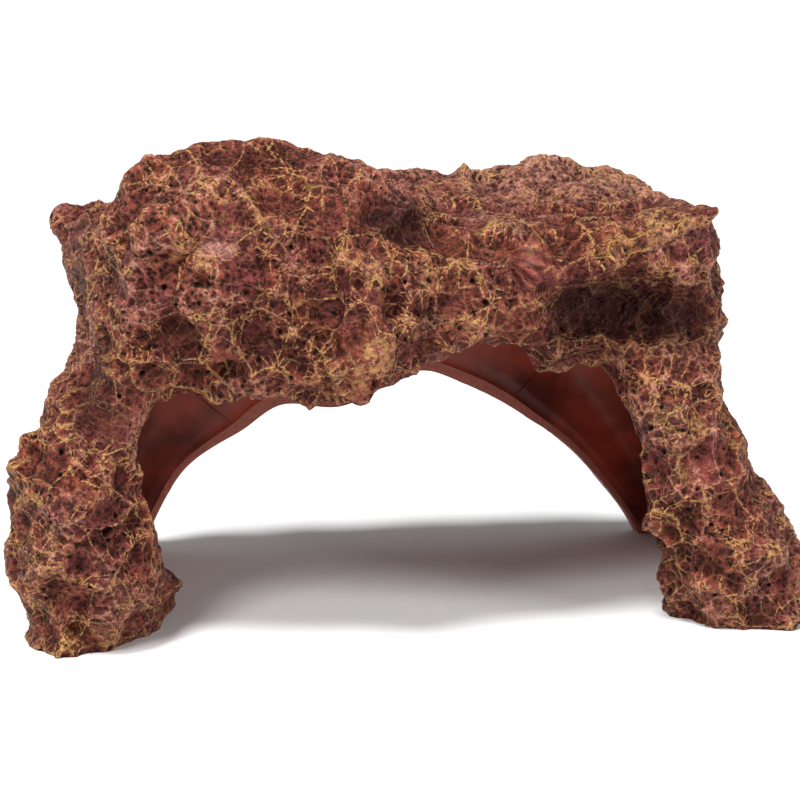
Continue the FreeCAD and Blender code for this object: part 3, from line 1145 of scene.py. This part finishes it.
@dataclass
class RoughRock:
    """Geometry Nodes that raise the rough surface on a smooth casting.

    Args:
        grain: the surface.
        strength: share of its height that is raised.
    """

    grain: StoneGrain
    strength: float = 1.0

    def tree(self) -> bpy.types.NodeTree:
        """Build the node tree, once for all castings."""
        tree = bpy.data.node_groups.new("rough_rock", "GeometryNodeTree")
        tree.interface.new_socket("Geometry", in_out="INPUT", socket_type="NodeSocketGeometry")
        tree.interface.new_socket("Strength", in_out="INPUT", socket_type="NodeSocketFloat")
        tree.interface.new_socket("Stone", in_out="INPUT", socket_type="NodeSocketMaterial")
        tree.interface.new_socket("Geometry", in_out="OUTPUT", socket_type="NodeSocketGeometry")
        sheet = NodeSheet(tree)
        source = tree.nodes.new("NodeGroupInput")
        rest = sheet.vector("SCALE", sheet.node("GeometryNodeInputPosition").outputs[0], 1 / MM)
        drawn = self.grain.draw(sheet, rest)
        keep = sheet.node("GeometryNodeStoreNamedAttribute",
                          {"data_type": "FLOAT_VECTOR", "domain": "POINT"},
                          Geometry=source.outputs["Geometry"], Name="rest")
        sheet.feed(keep.inputs["Value"], rest)
        high = sheet.node("GeometryNodeStoreNamedAttribute",
                          {"data_type": "FLOAT", "domain": "POINT"},
                          Geometry=keep.outputs[0], Name="height")
        sheet.feed(high.inputs["Value"], drawn.height)
        amount = sheet.times(self.named(sheet, "relief", "FLOAT"),
                             sheet.times(drawn.height, source.outputs["Strength"]))
        push = sheet.vector("SCALE", self.named(sheet, "face", "FLOAT_VECTOR"),
                            sheet.times(amount, MM))
        moved = sheet.node("GeometryNodeSetPosition", Geometry=high.outputs[0], Offset=push)
        joined = sheet.node("GeometryNodeRealizeInstances", Geometry=moved.outputs[0])
        dressed = sheet.node("GeometryNodeSetMaterial", Geometry=joined.outputs[0],
                             Material=source.outputs["Stone"])
        target = tree.nodes.new("NodeGroupOutput")
        tree.links.new(dressed.outputs[0], target.inputs[0])
        return tree

    @staticmethod
    def named(sheet: NodeSheet, title: str, kind: str) -> bpy.types.NodeSocket:
        """Read one of the casting's point attributes."""
        made = sheet.node("GeometryNodeInputNamedAttribute", {"data_type": kind}, Name=title)
        return made.outputs["Attribute"]

    def apply(self, piece: bpy.types.Object, tree: bpy.types.NodeTree,
              stone: bpy.types.Material) -> None:
        """Run the tree on a casting and keep the result as its mesh.

        Args:
            piece: the smooth casting.
            tree: what tree() made.
            stone: the finish.
        """
        modifier = piece.modifiers.new("rough_rock", "NODES")
        modifier.node_group = tree
        sockets = {item.name: item.identifier for item in tree.interface.items_tree
                   if item.in_out == "INPUT"}
        modifier[sockets["Strength"]] = self.strength
        modifier[sockets["Stone"]] = stone
        shaped = bpy.data.meshes.new_from_object(
            piece.evaluated_get(bpy.context.evaluated_depsgraph_get()))
        piece.modifiers.remove(modifier)
        piece.data = shaped


class Ground(NamedTuple):
    """What the rock's finish is painted on: sockets of one shader tree.

    Args:
        sheet: the tree.
        rest: place on the smooth form, in mm.
        place: place on the finished casting, in mm.
        height: height of the rough surface, in mm.
        bare: how far the resin was left unpainted, 0 to 1.
        speck: fine mottling, 0 to 1.
        lively: share of the small roughness that the calm leaves, 0 to 1.
        drawn: the drawn surface.
        paints: how much of each pigment lies there, 0 to 1.
    """

    sheet: NodeSheet
    rest: bpy.types.NodeSocket
    place: bpy.types.NodeSocket
    height: bpy.types.NodeSocket
    bare: bpy.types.NodeSocket
    speck: bpy.types.NodeSocket
    lively: bpy.types.NodeSocket
    drawn: Drawn
    paints: dict[Pigment, bpy.types.NodeSocket]


@dataclass(frozen=True)
class RockFinish:
    """Painted stone: maroon body, ochre dry-brushed on the crests, painted shade in the hollows
    and painted highlight on what stands out.

    Args:
        body: the maroon body.
        plum: its darker clouds.
        light: dust on what stands out, and painted highlight on raised places.
        resin: the unpainted resin.
        shade: painted shade, thin and dark, in scoops and low places.
        hollow: darkest painted shade, in pits and pores.
        ochre: the dry-brushed ochre.
        mauve: mauve laid in the listed daubs.
        rust_and_highlight: a lighter reddish paint on the top of the back, partly a painted
            highlight where it faces the light from above.
        painted_shade: painted shade in the listed daubs: the recess under the ledge, beside
            overhangs, in cracks, holes and the fan's grooves.
        roughness: middle of the mottled roughness.
        mottle: how far the roughness swings to either side.
        sheen: strength of the highlights.
        bump: height in mm of the finest relief.
        crumb: size of its crumbs and half width of the seams between them, in mm.
    """

    body: tuple = (0.255, 0.058, 0.034, 1)
    plum: tuple = (0.215, 0.044, 0.038, 1)
    light: tuple = (0.70, 0.360, 0.270, 1)
    resin: tuple = (0.46, 0.150, 0.110, 1)
    shade: tuple = (0.036, 0.007, 0.004, 1)
    hollow: tuple = (0.005, 0.001, 0.001, 1)
    ochre: tuple = (0.50, 0.270, 0.085, 1)
    mauve: tuple = (0.22, 0.098, 0.090, 1)
    rust_and_highlight: tuple = (0.46, 0.190, 0.140, 1)
    painted_shade: tuple = (0.022, 0.004, 0.004, 1)
    roughness: float = 0.5
    mottle: float = 0.12
    sheen: float = 0.16
    bump: float = 1.3
    crumb: tuple[float, float] = (1.5, 0.2)

    def material(self, grain: StoneGrain) -> bpy.types.Material:
        """Build the material.

        Args:
            grain: the surface that it is painted on.

        Returns:
            The material.
        """
        stone = bpy.data.materials.new("painted_stone")
        stone.use_nodes = True
        sheet = NodeSheet(stone.node_tree)
        shader = stone.node_tree.nodes["Principled BSDF"]
        ground = self.ground(sheet, grain)
        crests = self.crests(ground)
        brushed = self.brushed(ground, crests)
        sheet.feed(shader.inputs["Base Color"], self.colour(ground, crests, brushed))
        sheet.feed(shader.inputs["Roughness"], sheet.ramp(
            ground.speck, 0.35, 0.65, self.roughness - self.mottle, self.roughness + self.mottle))
        shader.inputs["Specular IOR Level"].default_value = self.sheen
        crumbs, _ = grain.scoops(
            sheet, sheet.vector("ADD", ground.rest, ground.drawn.push), *self.crumb)
        bump = sheet.node("ShaderNodeBump", Strength=1.0, Distance=self.bump * MM,
                          Height=self.relief(ground, crumbs, brushed))
        sheet.feed(shader.inputs["Normal"], bump.outputs[0])
        return stone

    def ground(self, sheet: NodeSheet, grain: StoneGrain) -> Ground:
        """Read the casting's marks and draw its surface.

        Args:
            sheet: the tree.
            grain: the surface.

        Returns:
            What everything else is worked out from.
        """
        rest = self.mark(sheet, "rest").outputs["Vector"]
        place = sheet.vector("SCALE", sheet.node("ShaderNodeTexCoord").outputs["Object"], 1 / MM)
        paints = {pigment: self.mark(sheet, pigment.value).outputs["Fac"] for pigment in Pigment}
        return Ground(sheet, rest, place,
                      height=self.mark(sheet, "height").outputs["Fac"],
                      bare=self.mark(sheet, "bare").outputs["Fac"],
                      speck=sheet.noise(place, 1.9, 4.0, 0.65).outputs["Fac"],
                      lively=sheet.times_plus(paints[Pigment.CALM], -CALMING, 1.0),
                      drawn=grain.draw(sheet, rest),
                      paints=paints)

    def colour(self, ground: Ground, crests: bpy.types.NodeSocket,
               brushed: bpy.types.NodeSocket) -> bpy.types.NodeSocket:
        """Lay the colours over one another, in the order in which a painter would.

        Args:
            ground: what they are painted on.
            crests: presence of crest lines, painted in the light colour as highlight.
            brushed: presence of dry-brushed ochre.

        Returns:
            The colour.
        """
        sheet, drawn, paints, speck = ground.sheet, ground.drawn, ground.paints, ground.speck
        cloud = sheet.noise(ground.rest, 26.0, 3.0, 0.55).outputs["Fac"]
        colour = sheet.mix(sheet.ramp(cloud, 0.4, 0.6), self.body, self.plum)
        broken = sheet.ramp(speck, 0.3, 0.55, 0.55, 1.0)
        # Lighter reddish paint on the top of the back, partly a painted highlight from above.
        colour = sheet.mix(sheet.times(paints[Pigment.RUST_AND_HIGHLIGHT], broken), colour, self.rust_and_highlight)
        colour = sheet.mix(sheet.times(paints[Pigment.MAUVE], 0.8), colour, self.mauve)
        # Dust and painted highlight: the light colour, in specks, on raised places.
        raised = sheet.ramp(ground.height, 0.2, 2.2)
        dust_and_highlight = sheet.times(sheet.ramp(speck, 0.48, 0.66), raised)
        colour = sheet.mix(sheet.times(dust_and_highlight, 0.75), colour, self.light)
        # Painted shade: the shade colour in the low places of the rough surface.
        low_shade = sheet.ramp(ground.height, -3.2, 0.2, 1.0, 0.0)
        low_shade = sheet.times(low_shade, sheet.ramp(speck, 0.3, 0.62, 0.9, 0.3))
        colour = sheet.mix(low_shade, colour, self.shade)
        # Random dark specks of the shade colour.
        dark_specks = sheet.times(sheet.ramp(speck, 0.47, 0.36), 0.8)
        colour = sheet.mix(dark_specks, colour, self.shade)
        # Painted shade: the shade colour deep in the chips', rills' and folds' scoops, broken up by
        # the specks.
        scooped = sheet.times_plus(drawn.chip, 0.5, sheet.times(drawn.rill, 0.42))
        scooped = sheet.times_plus(drawn.fold, 0.25, scooped)
        shade_breakup = sheet.times(sheet.math("SUBTRACT", speck, 0.5), 1.4)
        scooped = sheet.ramp(sheet.math("ADD", scooped, shade_breakup), 0.25, 0.85, 0.0, 0.82)
        colour = sheet.mix(sheet.times(scooped, ground.lively), colour, self.shade)
        # Painted highlight: thin lines of the light colour along the crests.
        colour = sheet.mix(sheet.times(crests, 0.3), colour, self.light)
        # Painted shade: the darkest colour deep in the chips' scoops and in the gas pits.
        pore_shade = sheet.times(sheet.ramp(drawn.chip, 0.72, 0.9), drawn.rough)
        pore_shade = sheet.times(pore_shade, ground.lively)
        colour = sheet.mix(sheet.times(pore_shade, 0.85), colour, self.hollow)
        colour = sheet.mix(drawn.pit, colour, self.hollow)
        colour = sheet.mix(brushed, colour, self.ochre)
        colour = sheet.mix(ground.bare, colour, self.resin)
        # Painted shade from the daubs, laid over everything else.
        return sheet.mix(sheet.times(paints[Pigment.PAINTED_SHADE], 0.88), colour, self.painted_shade)

    def crests(self, ground: Ground) -> bpy.types.NodeSocket:
        """Find the lines along crests, broken up, and denser near the facets' crests.

        Args:
            ground: what they lie on.

        Returns:
            Presence of the lines, 0 to 1.
        """
        sheet, drawn = ground.sheet, ground.drawn
        broken = sheet.ramp(sheet.noise(ground.place, 1.4, 3.0).outputs["Fac"], 0.38, 0.50)
        near = sheet.ramp(drawn.facet, 0.85, 0.45, 0.15, 1.0)
        beside = sheet.times(near, sheet.ramp(drawn.fold, 0.7, 0.35, 0.25, 1.0))
        lines = sheet.math("MAXIMUM", sheet.times(drawn.fold_seam, near),
                           sheet.times(drawn.rill_seam, beside))
        lines = sheet.math("MAXIMUM", lines, drawn.facet_seam)
        return sheet.times(sheet.times(lines, broken), ground.lively)

    def brushed(self, ground: Ground, crests: bpy.types.NodeSocket) -> bpy.types.NodeSocket:
        """Dry-brush ochre on the crests, and smear it thickly where it was laid in the listed daubs.

        Args:
            ground: what it lies on.
            crests: presence of crest lines.

        Returns:
            Presence of the ochre, 0 to 1.
        """
        sheet, laid = ground.sheet, ground.paints[Pigment.OCHRE]
        patch = sheet.noise(ground.rest, 15.0, 3.0, 0.6).outputs["Fac"]
        patch = sheet.ramp(sheet.times_plus(laid, 0.15, patch), 0.38, 0.56, 0.15, 1.0)
        smear = sheet.noise(ground.place, 3.1, 4.0, 0.65).outputs["Fac"]
        smear = sheet.ramp(sheet.times_plus(laid, 0.1, smear), 0.55, 0.66, 0.0, 0.75)
        smear = sheet.times(sheet.times(laid, smear), sheet.ramp(ground.height, -1.0, 1.0))
        return sheet.math("MAXIMUM", sheet.times(crests, patch), smear, clamp=True)

    def relief(self, ground: Ground, crumbs: bpy.types.NodeSocket,
               brushed: bpy.types.NodeSocket) -> bpy.types.NodeSocket:
        """Work out the finest relief, too small for the mesh.

        Args:
            ground: what it lies on.
            crumbs: how deep between crumbs a place is, 0 to 1.
            brushed: presence of dry-brushed ochre.

        Returns:
            Its height, as a share of the bump's height.
        """
        sheet, drawn = ground.sheet, ground.drawn
        relief = sheet.noise(ground.place, 0.9, 3.0, 0.65).outputs["Fac"]
        for layer, share in ((drawn.chip, -1.0), (drawn.rill, -0.6), (crumbs, -0.7),
                             (drawn.pit, -1.2), (brushed, 0.25)):
            relief = sheet.times_plus(layer, share, relief)
        relief = sheet.times(relief, sheet.times_plus(ground.bare, -0.85, 1.0))
        return sheet.times(relief, ground.lively)

    @staticmethod
    def mark(sheet: NodeSheet, title: str) -> bpy.types.Node:
        """Read a point attribute."""
        return sheet.node("ShaderNodeAttribute", {"attribute_name": title})


@dataclass(frozen=True)
class CoatFinish:
    """Smooth, wet-looking back coat in dark red brown.

    Args:
        dark: its darker clouds.
        lit: its lighter ones.
        roughness: how dull it is.
        sheen: strength of the highlights.
    """

    dark: tuple = (0.090, 0.010, 0.005, 1)
    lit: tuple = (0.330, 0.045, 0.020, 1)
    roughness: float = 0.34
    sheen: float = 0.25

    def material(self) -> bpy.types.Material:
        """Build the material."""
        coat = bpy.data.materials.new("back_coat")
        coat.use_nodes = True
        sheet = NodeSheet(coat.node_tree)
        shader = coat.node_tree.nodes["Principled BSDF"]
        place = sheet.vector("SCALE", sheet.node("ShaderNodeTexCoord").outputs["Object"], 1 / MM)
        cloud = sheet.noise(place, 26.0, 3.0).outputs["Fac"]
        colour = sheet.mix(sheet.ramp(cloud, 0.35, 0.68), self.dark, self.lit)
        sheet.feed(shader.inputs["Base Color"], colour)
        shader.inputs["Roughness"].default_value = self.roughness
        shader.inputs["Specular IOR Level"].default_value = self.sheen
        return coat


class Strip(NamedTuple):
    """Some rows of a casting's loops.

    Args:
        points: (columns, rows, 3) array in mm.
        normals: outward unit vectors of the same shape.
        relief: share of the rough surface on each row.
    """

    points: np.ndarray
    normals: np.ndarray
    relief: np.ndarray


@dataclass
class RockCastings:
    """All rock castings, cut from one form.

    Args:
        form: the whole rock's form.
        inner_step: rows of the form to one row of a casting's hidden side.
        rim_rows: rows round the rolled front lip.
        rim_swell: how far the front lip is rolled out, in mm.
        trim_rows: rows across the rear lip's trimmed edge.
        ground_blend: height in mm below which the rough surface only goes sideways.
    """

    form: RockForm
    inner_step: int = 8
    rim_rows: int = 10
    rim_swell: float = 2.4
    trim_rows: int = 4
    ground_blend: float = 8.0

    def __post_init__(self) -> None:
        """Mix the paints once for all castings."""
        self.paints = {pigment: self.form.paint(pigment) for pigment in Pigment}

    def piece(self, casting: Casting) -> bpy.types.Object:
        """Build one casting's smooth, closed mesh.

        Args:
            casting: which one.

        Returns:
            The new object.
        """
        form = self.form
        in_front = casting.row is Row.FRONT
        first, last = form.columns[casting.first], form.columns[casting.last] + 1
        end = form.outside.points.shape[1] - 1
        rows = np.arange(0, form.ridge + 1) if in_front else np.arange(form.ridge, end + 1)
        back = np.unique(np.append(rows[::self.inner_step], rows[-1]))[::-1]
        outer = Strip(form.outside.points[first:last, rows],
                      form.outside.normals[first:last, rows], self.relief(rows, end))
        hidden = Strip(form.inside.points[first:last, back],
                       form.inside.normals[first:last, back], np.zeros(len(back)))
        rim = self.front_rim(first, last) if in_front else self.rear_rim(first, last)
        strips = (rim, outer, hidden) if in_front else (outer, rim, hidden)
        loops = np.concatenate([strip.points for strip in strips], axis=1)
        faces = np.concatenate([strip.normals for strip in strips], axis=1)
        faces[..., 2] *= np.clip(loops[..., 2] / self.ground_blend, 0, 1)
        total = loops.shape[1]
        upper = total - len(back)
        before = len(rim.relief) if in_front else 0
        after = total - before - len(rows)
        marks = {"face": faces}
        for pigment, coat in self.paints.items():
            marks[pigment.value] = np.pad(coat[first:last, rows], ((0, 0), (before, after)),
                                          mode="edge")
        lively = 1 - CALMING * marks[Pigment.CALM.value]
        marks["relief"] = np.concatenate([strip.relief for strip in strips]) * lively
        marks["bare"] = np.broadcast_to(self.bare(rows, end, before, total), lively.shape)
        seen = np.arange(total) < upper - 1
        return LoopMesh(loops, upper, seen).build(casting.node + "_rock", marks)

    def relief(self, rows: np.ndarray, end: int) -> np.ndarray:
        """Share of the rough surface on each row, less at the trimmed rear lip, row end."""
        to_edge = (end - rows) * self.form.row_step
        return 0.25 + 0.75 * np.clip(to_edge / 6.0, 0, 1)

    def bare(self, rows: np.ndarray, end: int, before: int, total: int) -> np.ndarray:
        """Tell how bare a loop is: the trimmed rear lip and what is behind it were never painted.

        Args:
            rows: the form's rows on the loop's outer side.
            end: the form's last row, at the rear lip.
            before: points of the loop before those rows.
            total: points of the loop.

        Returns:
            One number for each point, 0 to 1.
        """
        bare = np.full(total, 1.0 if rows[-1] == end else 0.0)
        bare[:before + len(rows)] = 0
        to_edge = (end - rows) * self.form.row_step
        bare[before:before + len(rows)] = np.clip(1 - to_edge / 3.0, 0, 1)
        return bare

    def front_rim(self, first: int, last: int) -> Strip:
        """Roll the lip of the front mouth, from the inner edge to the outer.

        Args:
            first: first column.
            last: the column after the last.

        Returns:
            The new rows.
        """
        low = self.form.inside.points[first:last, 0]
        high = self.form.outside.points[first:last, 0]
        away = high - self.form.outside.points[first:last, 4]
        away /= np.linalg.norm(away, axis=1, keepdims=True)
        face = self.form.outside.normals[first:last, 0]
        share = np.arange(1, self.rim_rows + 1) / (self.rim_rows + 1)
        swell = np.sin(share * math.pi)
        points = (low[:, None] * (1 - share[None, :, None]) + high[:, None] * share[None, :, None]
                  + away[:, None] * (swell * self.rim_swell)[None, :, None])
        turn = share[None, :, None]
        normals = away[:, None] * np.sin(turn * math.pi) + face[:, None] * (turn * 2 - 1)
        normals /= np.linalg.norm(normals, axis=2, keepdims=True)
        return Strip(points, normals, share ** 0.5)

    def rear_rim(self, first: int, last: int) -> Strip:
        """Trim the rear mouth's edge flat, from the outer edge to the inner.

        Args:
            first: first column.
            last: the column after the last.

        Returns:
            The new rows.
        """
        high = self.form.outside.points[first:last, -1]
        low = self.form.inside.points[first:last, -1]
        away = high - self.form.outside.points[first:last, -5]
        away /= np.linalg.norm(away, axis=1, keepdims=True)
        share = np.arange(1, self.trim_rows + 1) / (self.trim_rows + 1)
        points = low[:, None] * share[None, :, None] + high[:, None] * (1 - share[None, :, None])
        normals = np.broadcast_to(away[:, None], points.shape)
        return Strip(points, normals, np.full(self.trim_rows, 0.1))


@dataclass
class BackCoat:
    """The smooth coat inside the hollow.

    Args:
        form: the whole rock's form.
        coat: thickness in mm.
        bare_rim: rock left bare at both mouths and above the ground, in mm.
        swell: height of the coat's soft runs and pools, in mm.
        row_step: rows of the form to one row of the coat.
        column_step: columns of the form to one column of the coat.
        behind_step: rows of the coat to one row of its hidden side.
    """

    form: RockForm
    coat: float = 2.0
    bare_rim: float = 4.0
    swell: float = 0.8
    row_step: int = 2
    column_step: int = 2
    behind_step: int = 4

    def piece(self, node: str, start: str, stop: str) -> bpy.types.Object:
        """Build one span of the coat.

        Args:
            node: the CAD node it stands for.
            start: name of the section where it begins.
            stop: name of the section where it ends.

        Returns:
            The new object.
        """
        form = self.form
        first, last = form.columns[start], form.columns[stop]
        columns = np.unique(np.append(np.arange(first, last, self.column_step), last))
        skip = round(self.bare_rim / form.row_step)
        end = form.inside.points.shape[1] - 1 - skip
        rows = np.unique(np.append(np.arange(skip, end, self.row_step), end))
        behind = np.unique(np.append(rows[::self.behind_step], rows[-1]))
        thin = self.edge_taper(rows)
        base = form.inside.points[columns][:, rows]
        normal = form.inside.normals[columns][:, rows]
        depth = self.coat * thin[None, :] + self.runs(base) * thin[None, :]
        seen = base - depth[..., None] * normal
        back = form.inside.points[columns][:, behind]
        for side in (seen, back):
            side[..., 2] = np.maximum(side[..., 2], self.bare_rim)
            for end_column, name in ((0, start), (-1, stop)):
                if name.endswith("foot"):
                    side[end_column, :, 2] = self.bare_rim
        loops = np.concatenate([back, seen[:, ::-1]], axis=1)
        upper = back.shape[1]
        bands = np.zeros(loops.shape[1], bool)
        bands[upper:-1] = True
        return LoopMesh(loops, upper, bands).build(node + "_coat", {})

    def edge_taper(self, rows: np.ndarray) -> np.ndarray:
        """Share of the full thickness on each row, thin where the coat ends at a lip."""
        gap = np.minimum(rows - rows[0], rows[-1] - rows) * self.form.row_step
        return 0.12 + 0.88 * np.clip(gap / 5.0, 0, 1) ** 0.5

    def runs(self, places: np.ndarray) -> np.ndarray:
        """Soft runs and pools of the poured coat, in mm."""
        x, y, z = np.moveaxis(places, 2, 0)
        waves = (np.sin(x / 11 + 0.7 * np.sin(y / 17)) * np.cos(z / 13 + y / 23)
                 + 0.6 * np.sin(y / 8 + x / 19 + z / 29) + 0.4 * np.cos(z / 7 - y / 11))
        return self.swell * 0.5 * waves


@dataclass
class Studio:
    """Pale floor, white backdrop, soft lights and the camera.

    Args:
        azimuth: degrees the camera stands to the right of the front; negative is left.
        elevation: degrees above the horizon.
        distance: metres from the aim.
        lens: focal length in mm on a 36 mm sensor.
        aim: point the camera looks at, in metres.
        ambient: light from the white backdrop, as a share of how bright it looks.
        floor_size: half the floor's width in metres.
        floor_grey: the floor's brightness.
    """

    azimuth: float = -8.0
    elevation: float = 11.5
    distance: float = 1.0
    lens: float = 118.0
    aim: tuple[float, float, float] = (0.0, 0.0, 0.0755)
    ambient: float = 0.34
    floor_size: float = 6.0
    floor_grey: float = 0.82

    def build(self) -> None:
        """Make everything round the object."""
        self.floor()
        self.light("key", (-0.55, -0.7, 0.8), 0.3, 7.4)
        self.light("fill", (0.9, -0.8, 0.4), 0.5, 7.0)
        self.sky_light()
        self.backdrop()
        bpy.context.scene.view_settings.view_transform = "Standard"
        self.camera()

    def backdrop(self) -> None:
        """Make the backdrop, white to the camera and dimmer to everything else."""
        world = bpy.data.worlds.new("studio")
        world.use_nodes = True
        sheet = NodeSheet(world.node_tree)
        backdrop = world.node_tree.nodes["Background"]
        backdrop.inputs["Color"].default_value = (1, 1, 1, 1)
        seen = sheet.node("ShaderNodeLightPath").outputs["Is Camera Ray"]
        strength = sheet.times_plus(seen, 1 - self.ambient, self.ambient)
        sheet.feed(backdrop.inputs["Strength"], strength)
        bpy.context.scene.world = world

    def floor(self) -> None:
        """Make the floor."""
        mesh = bpy.data.meshes.new("floor")
        size = self.floor_size
        mesh.from_pydata([(-size, -size, 0), (size, -size, 0), (size, size, 0), (-size, size, 0)],
                         [], [(0, 1, 2, 3)])
        floor = bpy.data.objects.new("floor", mesh)
        bpy.context.scene.collection.objects.link(floor)
        paper = bpy.data.materials.new("studio_paper")
        paper.use_nodes = True
        shader = paper.node_tree.nodes["Principled BSDF"]
        shader.inputs["Base Color"].default_value = (*[self.floor_grey] * 3, 1)
        shader.inputs["Roughness"].default_value = 0.9
        mesh.materials.append(paper)

    def light(self, name: str, place: tuple[float, float, float], size: float,
              power: float) -> None:
        """Make one soft area light that looks at the aim.

        Args:
            name: what it is called.
            place: where it stands, in metres.
            size: its width in metres.
            power: its power in watts.
        """
        lamp = bpy.data.lights.new(name, "AREA")
        lamp.size = size
        lamp.energy = power
        thing = bpy.data.objects.new(name, lamp)
        thing.location = place
        thing.rotation_euler = self.looking(place)
        bpy.context.scene.collection.objects.link(thing)

    def sky_light(self) -> None:
        """Make the even, soft light from above that also lights the floor."""
        lamp = bpy.data.lights.new("sky", "SUN")
        lamp.energy = 3.4
        lamp.angle = math.radians(14)
        thing = bpy.data.objects.new("sky", lamp)
        thing.rotation_euler = self.looking((-0.25, -0.25, 1.0))
        bpy.context.scene.collection.objects.link(thing)

    def looking(self, place: tuple[float, float, float]) -> Euler:
        """Rotation that looks from a place to the aim."""
        return (Vector(self.aim) - Vector(place)).to_track_quat("-Z", "Y").to_euler()

    def camera(self) -> None:
        """Make the camera."""
        turn, rise = math.radians(self.azimuth), math.radians(self.elevation)
        back = (math.sin(turn) * math.cos(rise), -math.cos(turn) * math.cos(rise),
                math.sin(rise))
        place = tuple(a + self.distance * b for a, b in zip(self.aim, back))
        lens = bpy.data.cameras.new("camera")
        lens.lens = self.lens
        lens.sensor_width = 36.0
        eye = bpy.data.objects.new("camera", lens)
        eye.location = place
        eye.rotation_euler = self.looking(place)
        bpy.context.scene.collection.objects.link(eye)
        bpy.context.scene.camera = eye


def main() -> None:
    """Build the ornament and its studio, and tell the frame what stands for what."""
    logging.basicConfig(level=logging.INFO, format="%(message)s")
    Studio().build()
    form = RockForm()
    grain = StoneGrain()
    stone = RockFinish().material(grain)
    rough = RoughRock(grain)
    tree = rough.tree()
    castings = RockCastings(form)
    for casting in CASTINGS:
        piece = castings.piece(casting)
        rough.apply(piece, tree, stone)
        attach(piece, "root")
        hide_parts(casting.node)
        LOG.info("%s: %d faces", piece.name, len(piece.data.polygons))
    coat = CoatFinish().material()
    lining = BackCoat(form)
    for node, start, stop in LINING_SPANS:
        piece = lining.piece(node, start, stop)
        piece.data.materials.append(coat)
        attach(piece, "root")
        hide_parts(node)
        LOG.info("%s: %d faces", piece.name, len(piece.data.polygons))


if __name__ == "__main__":
    main()
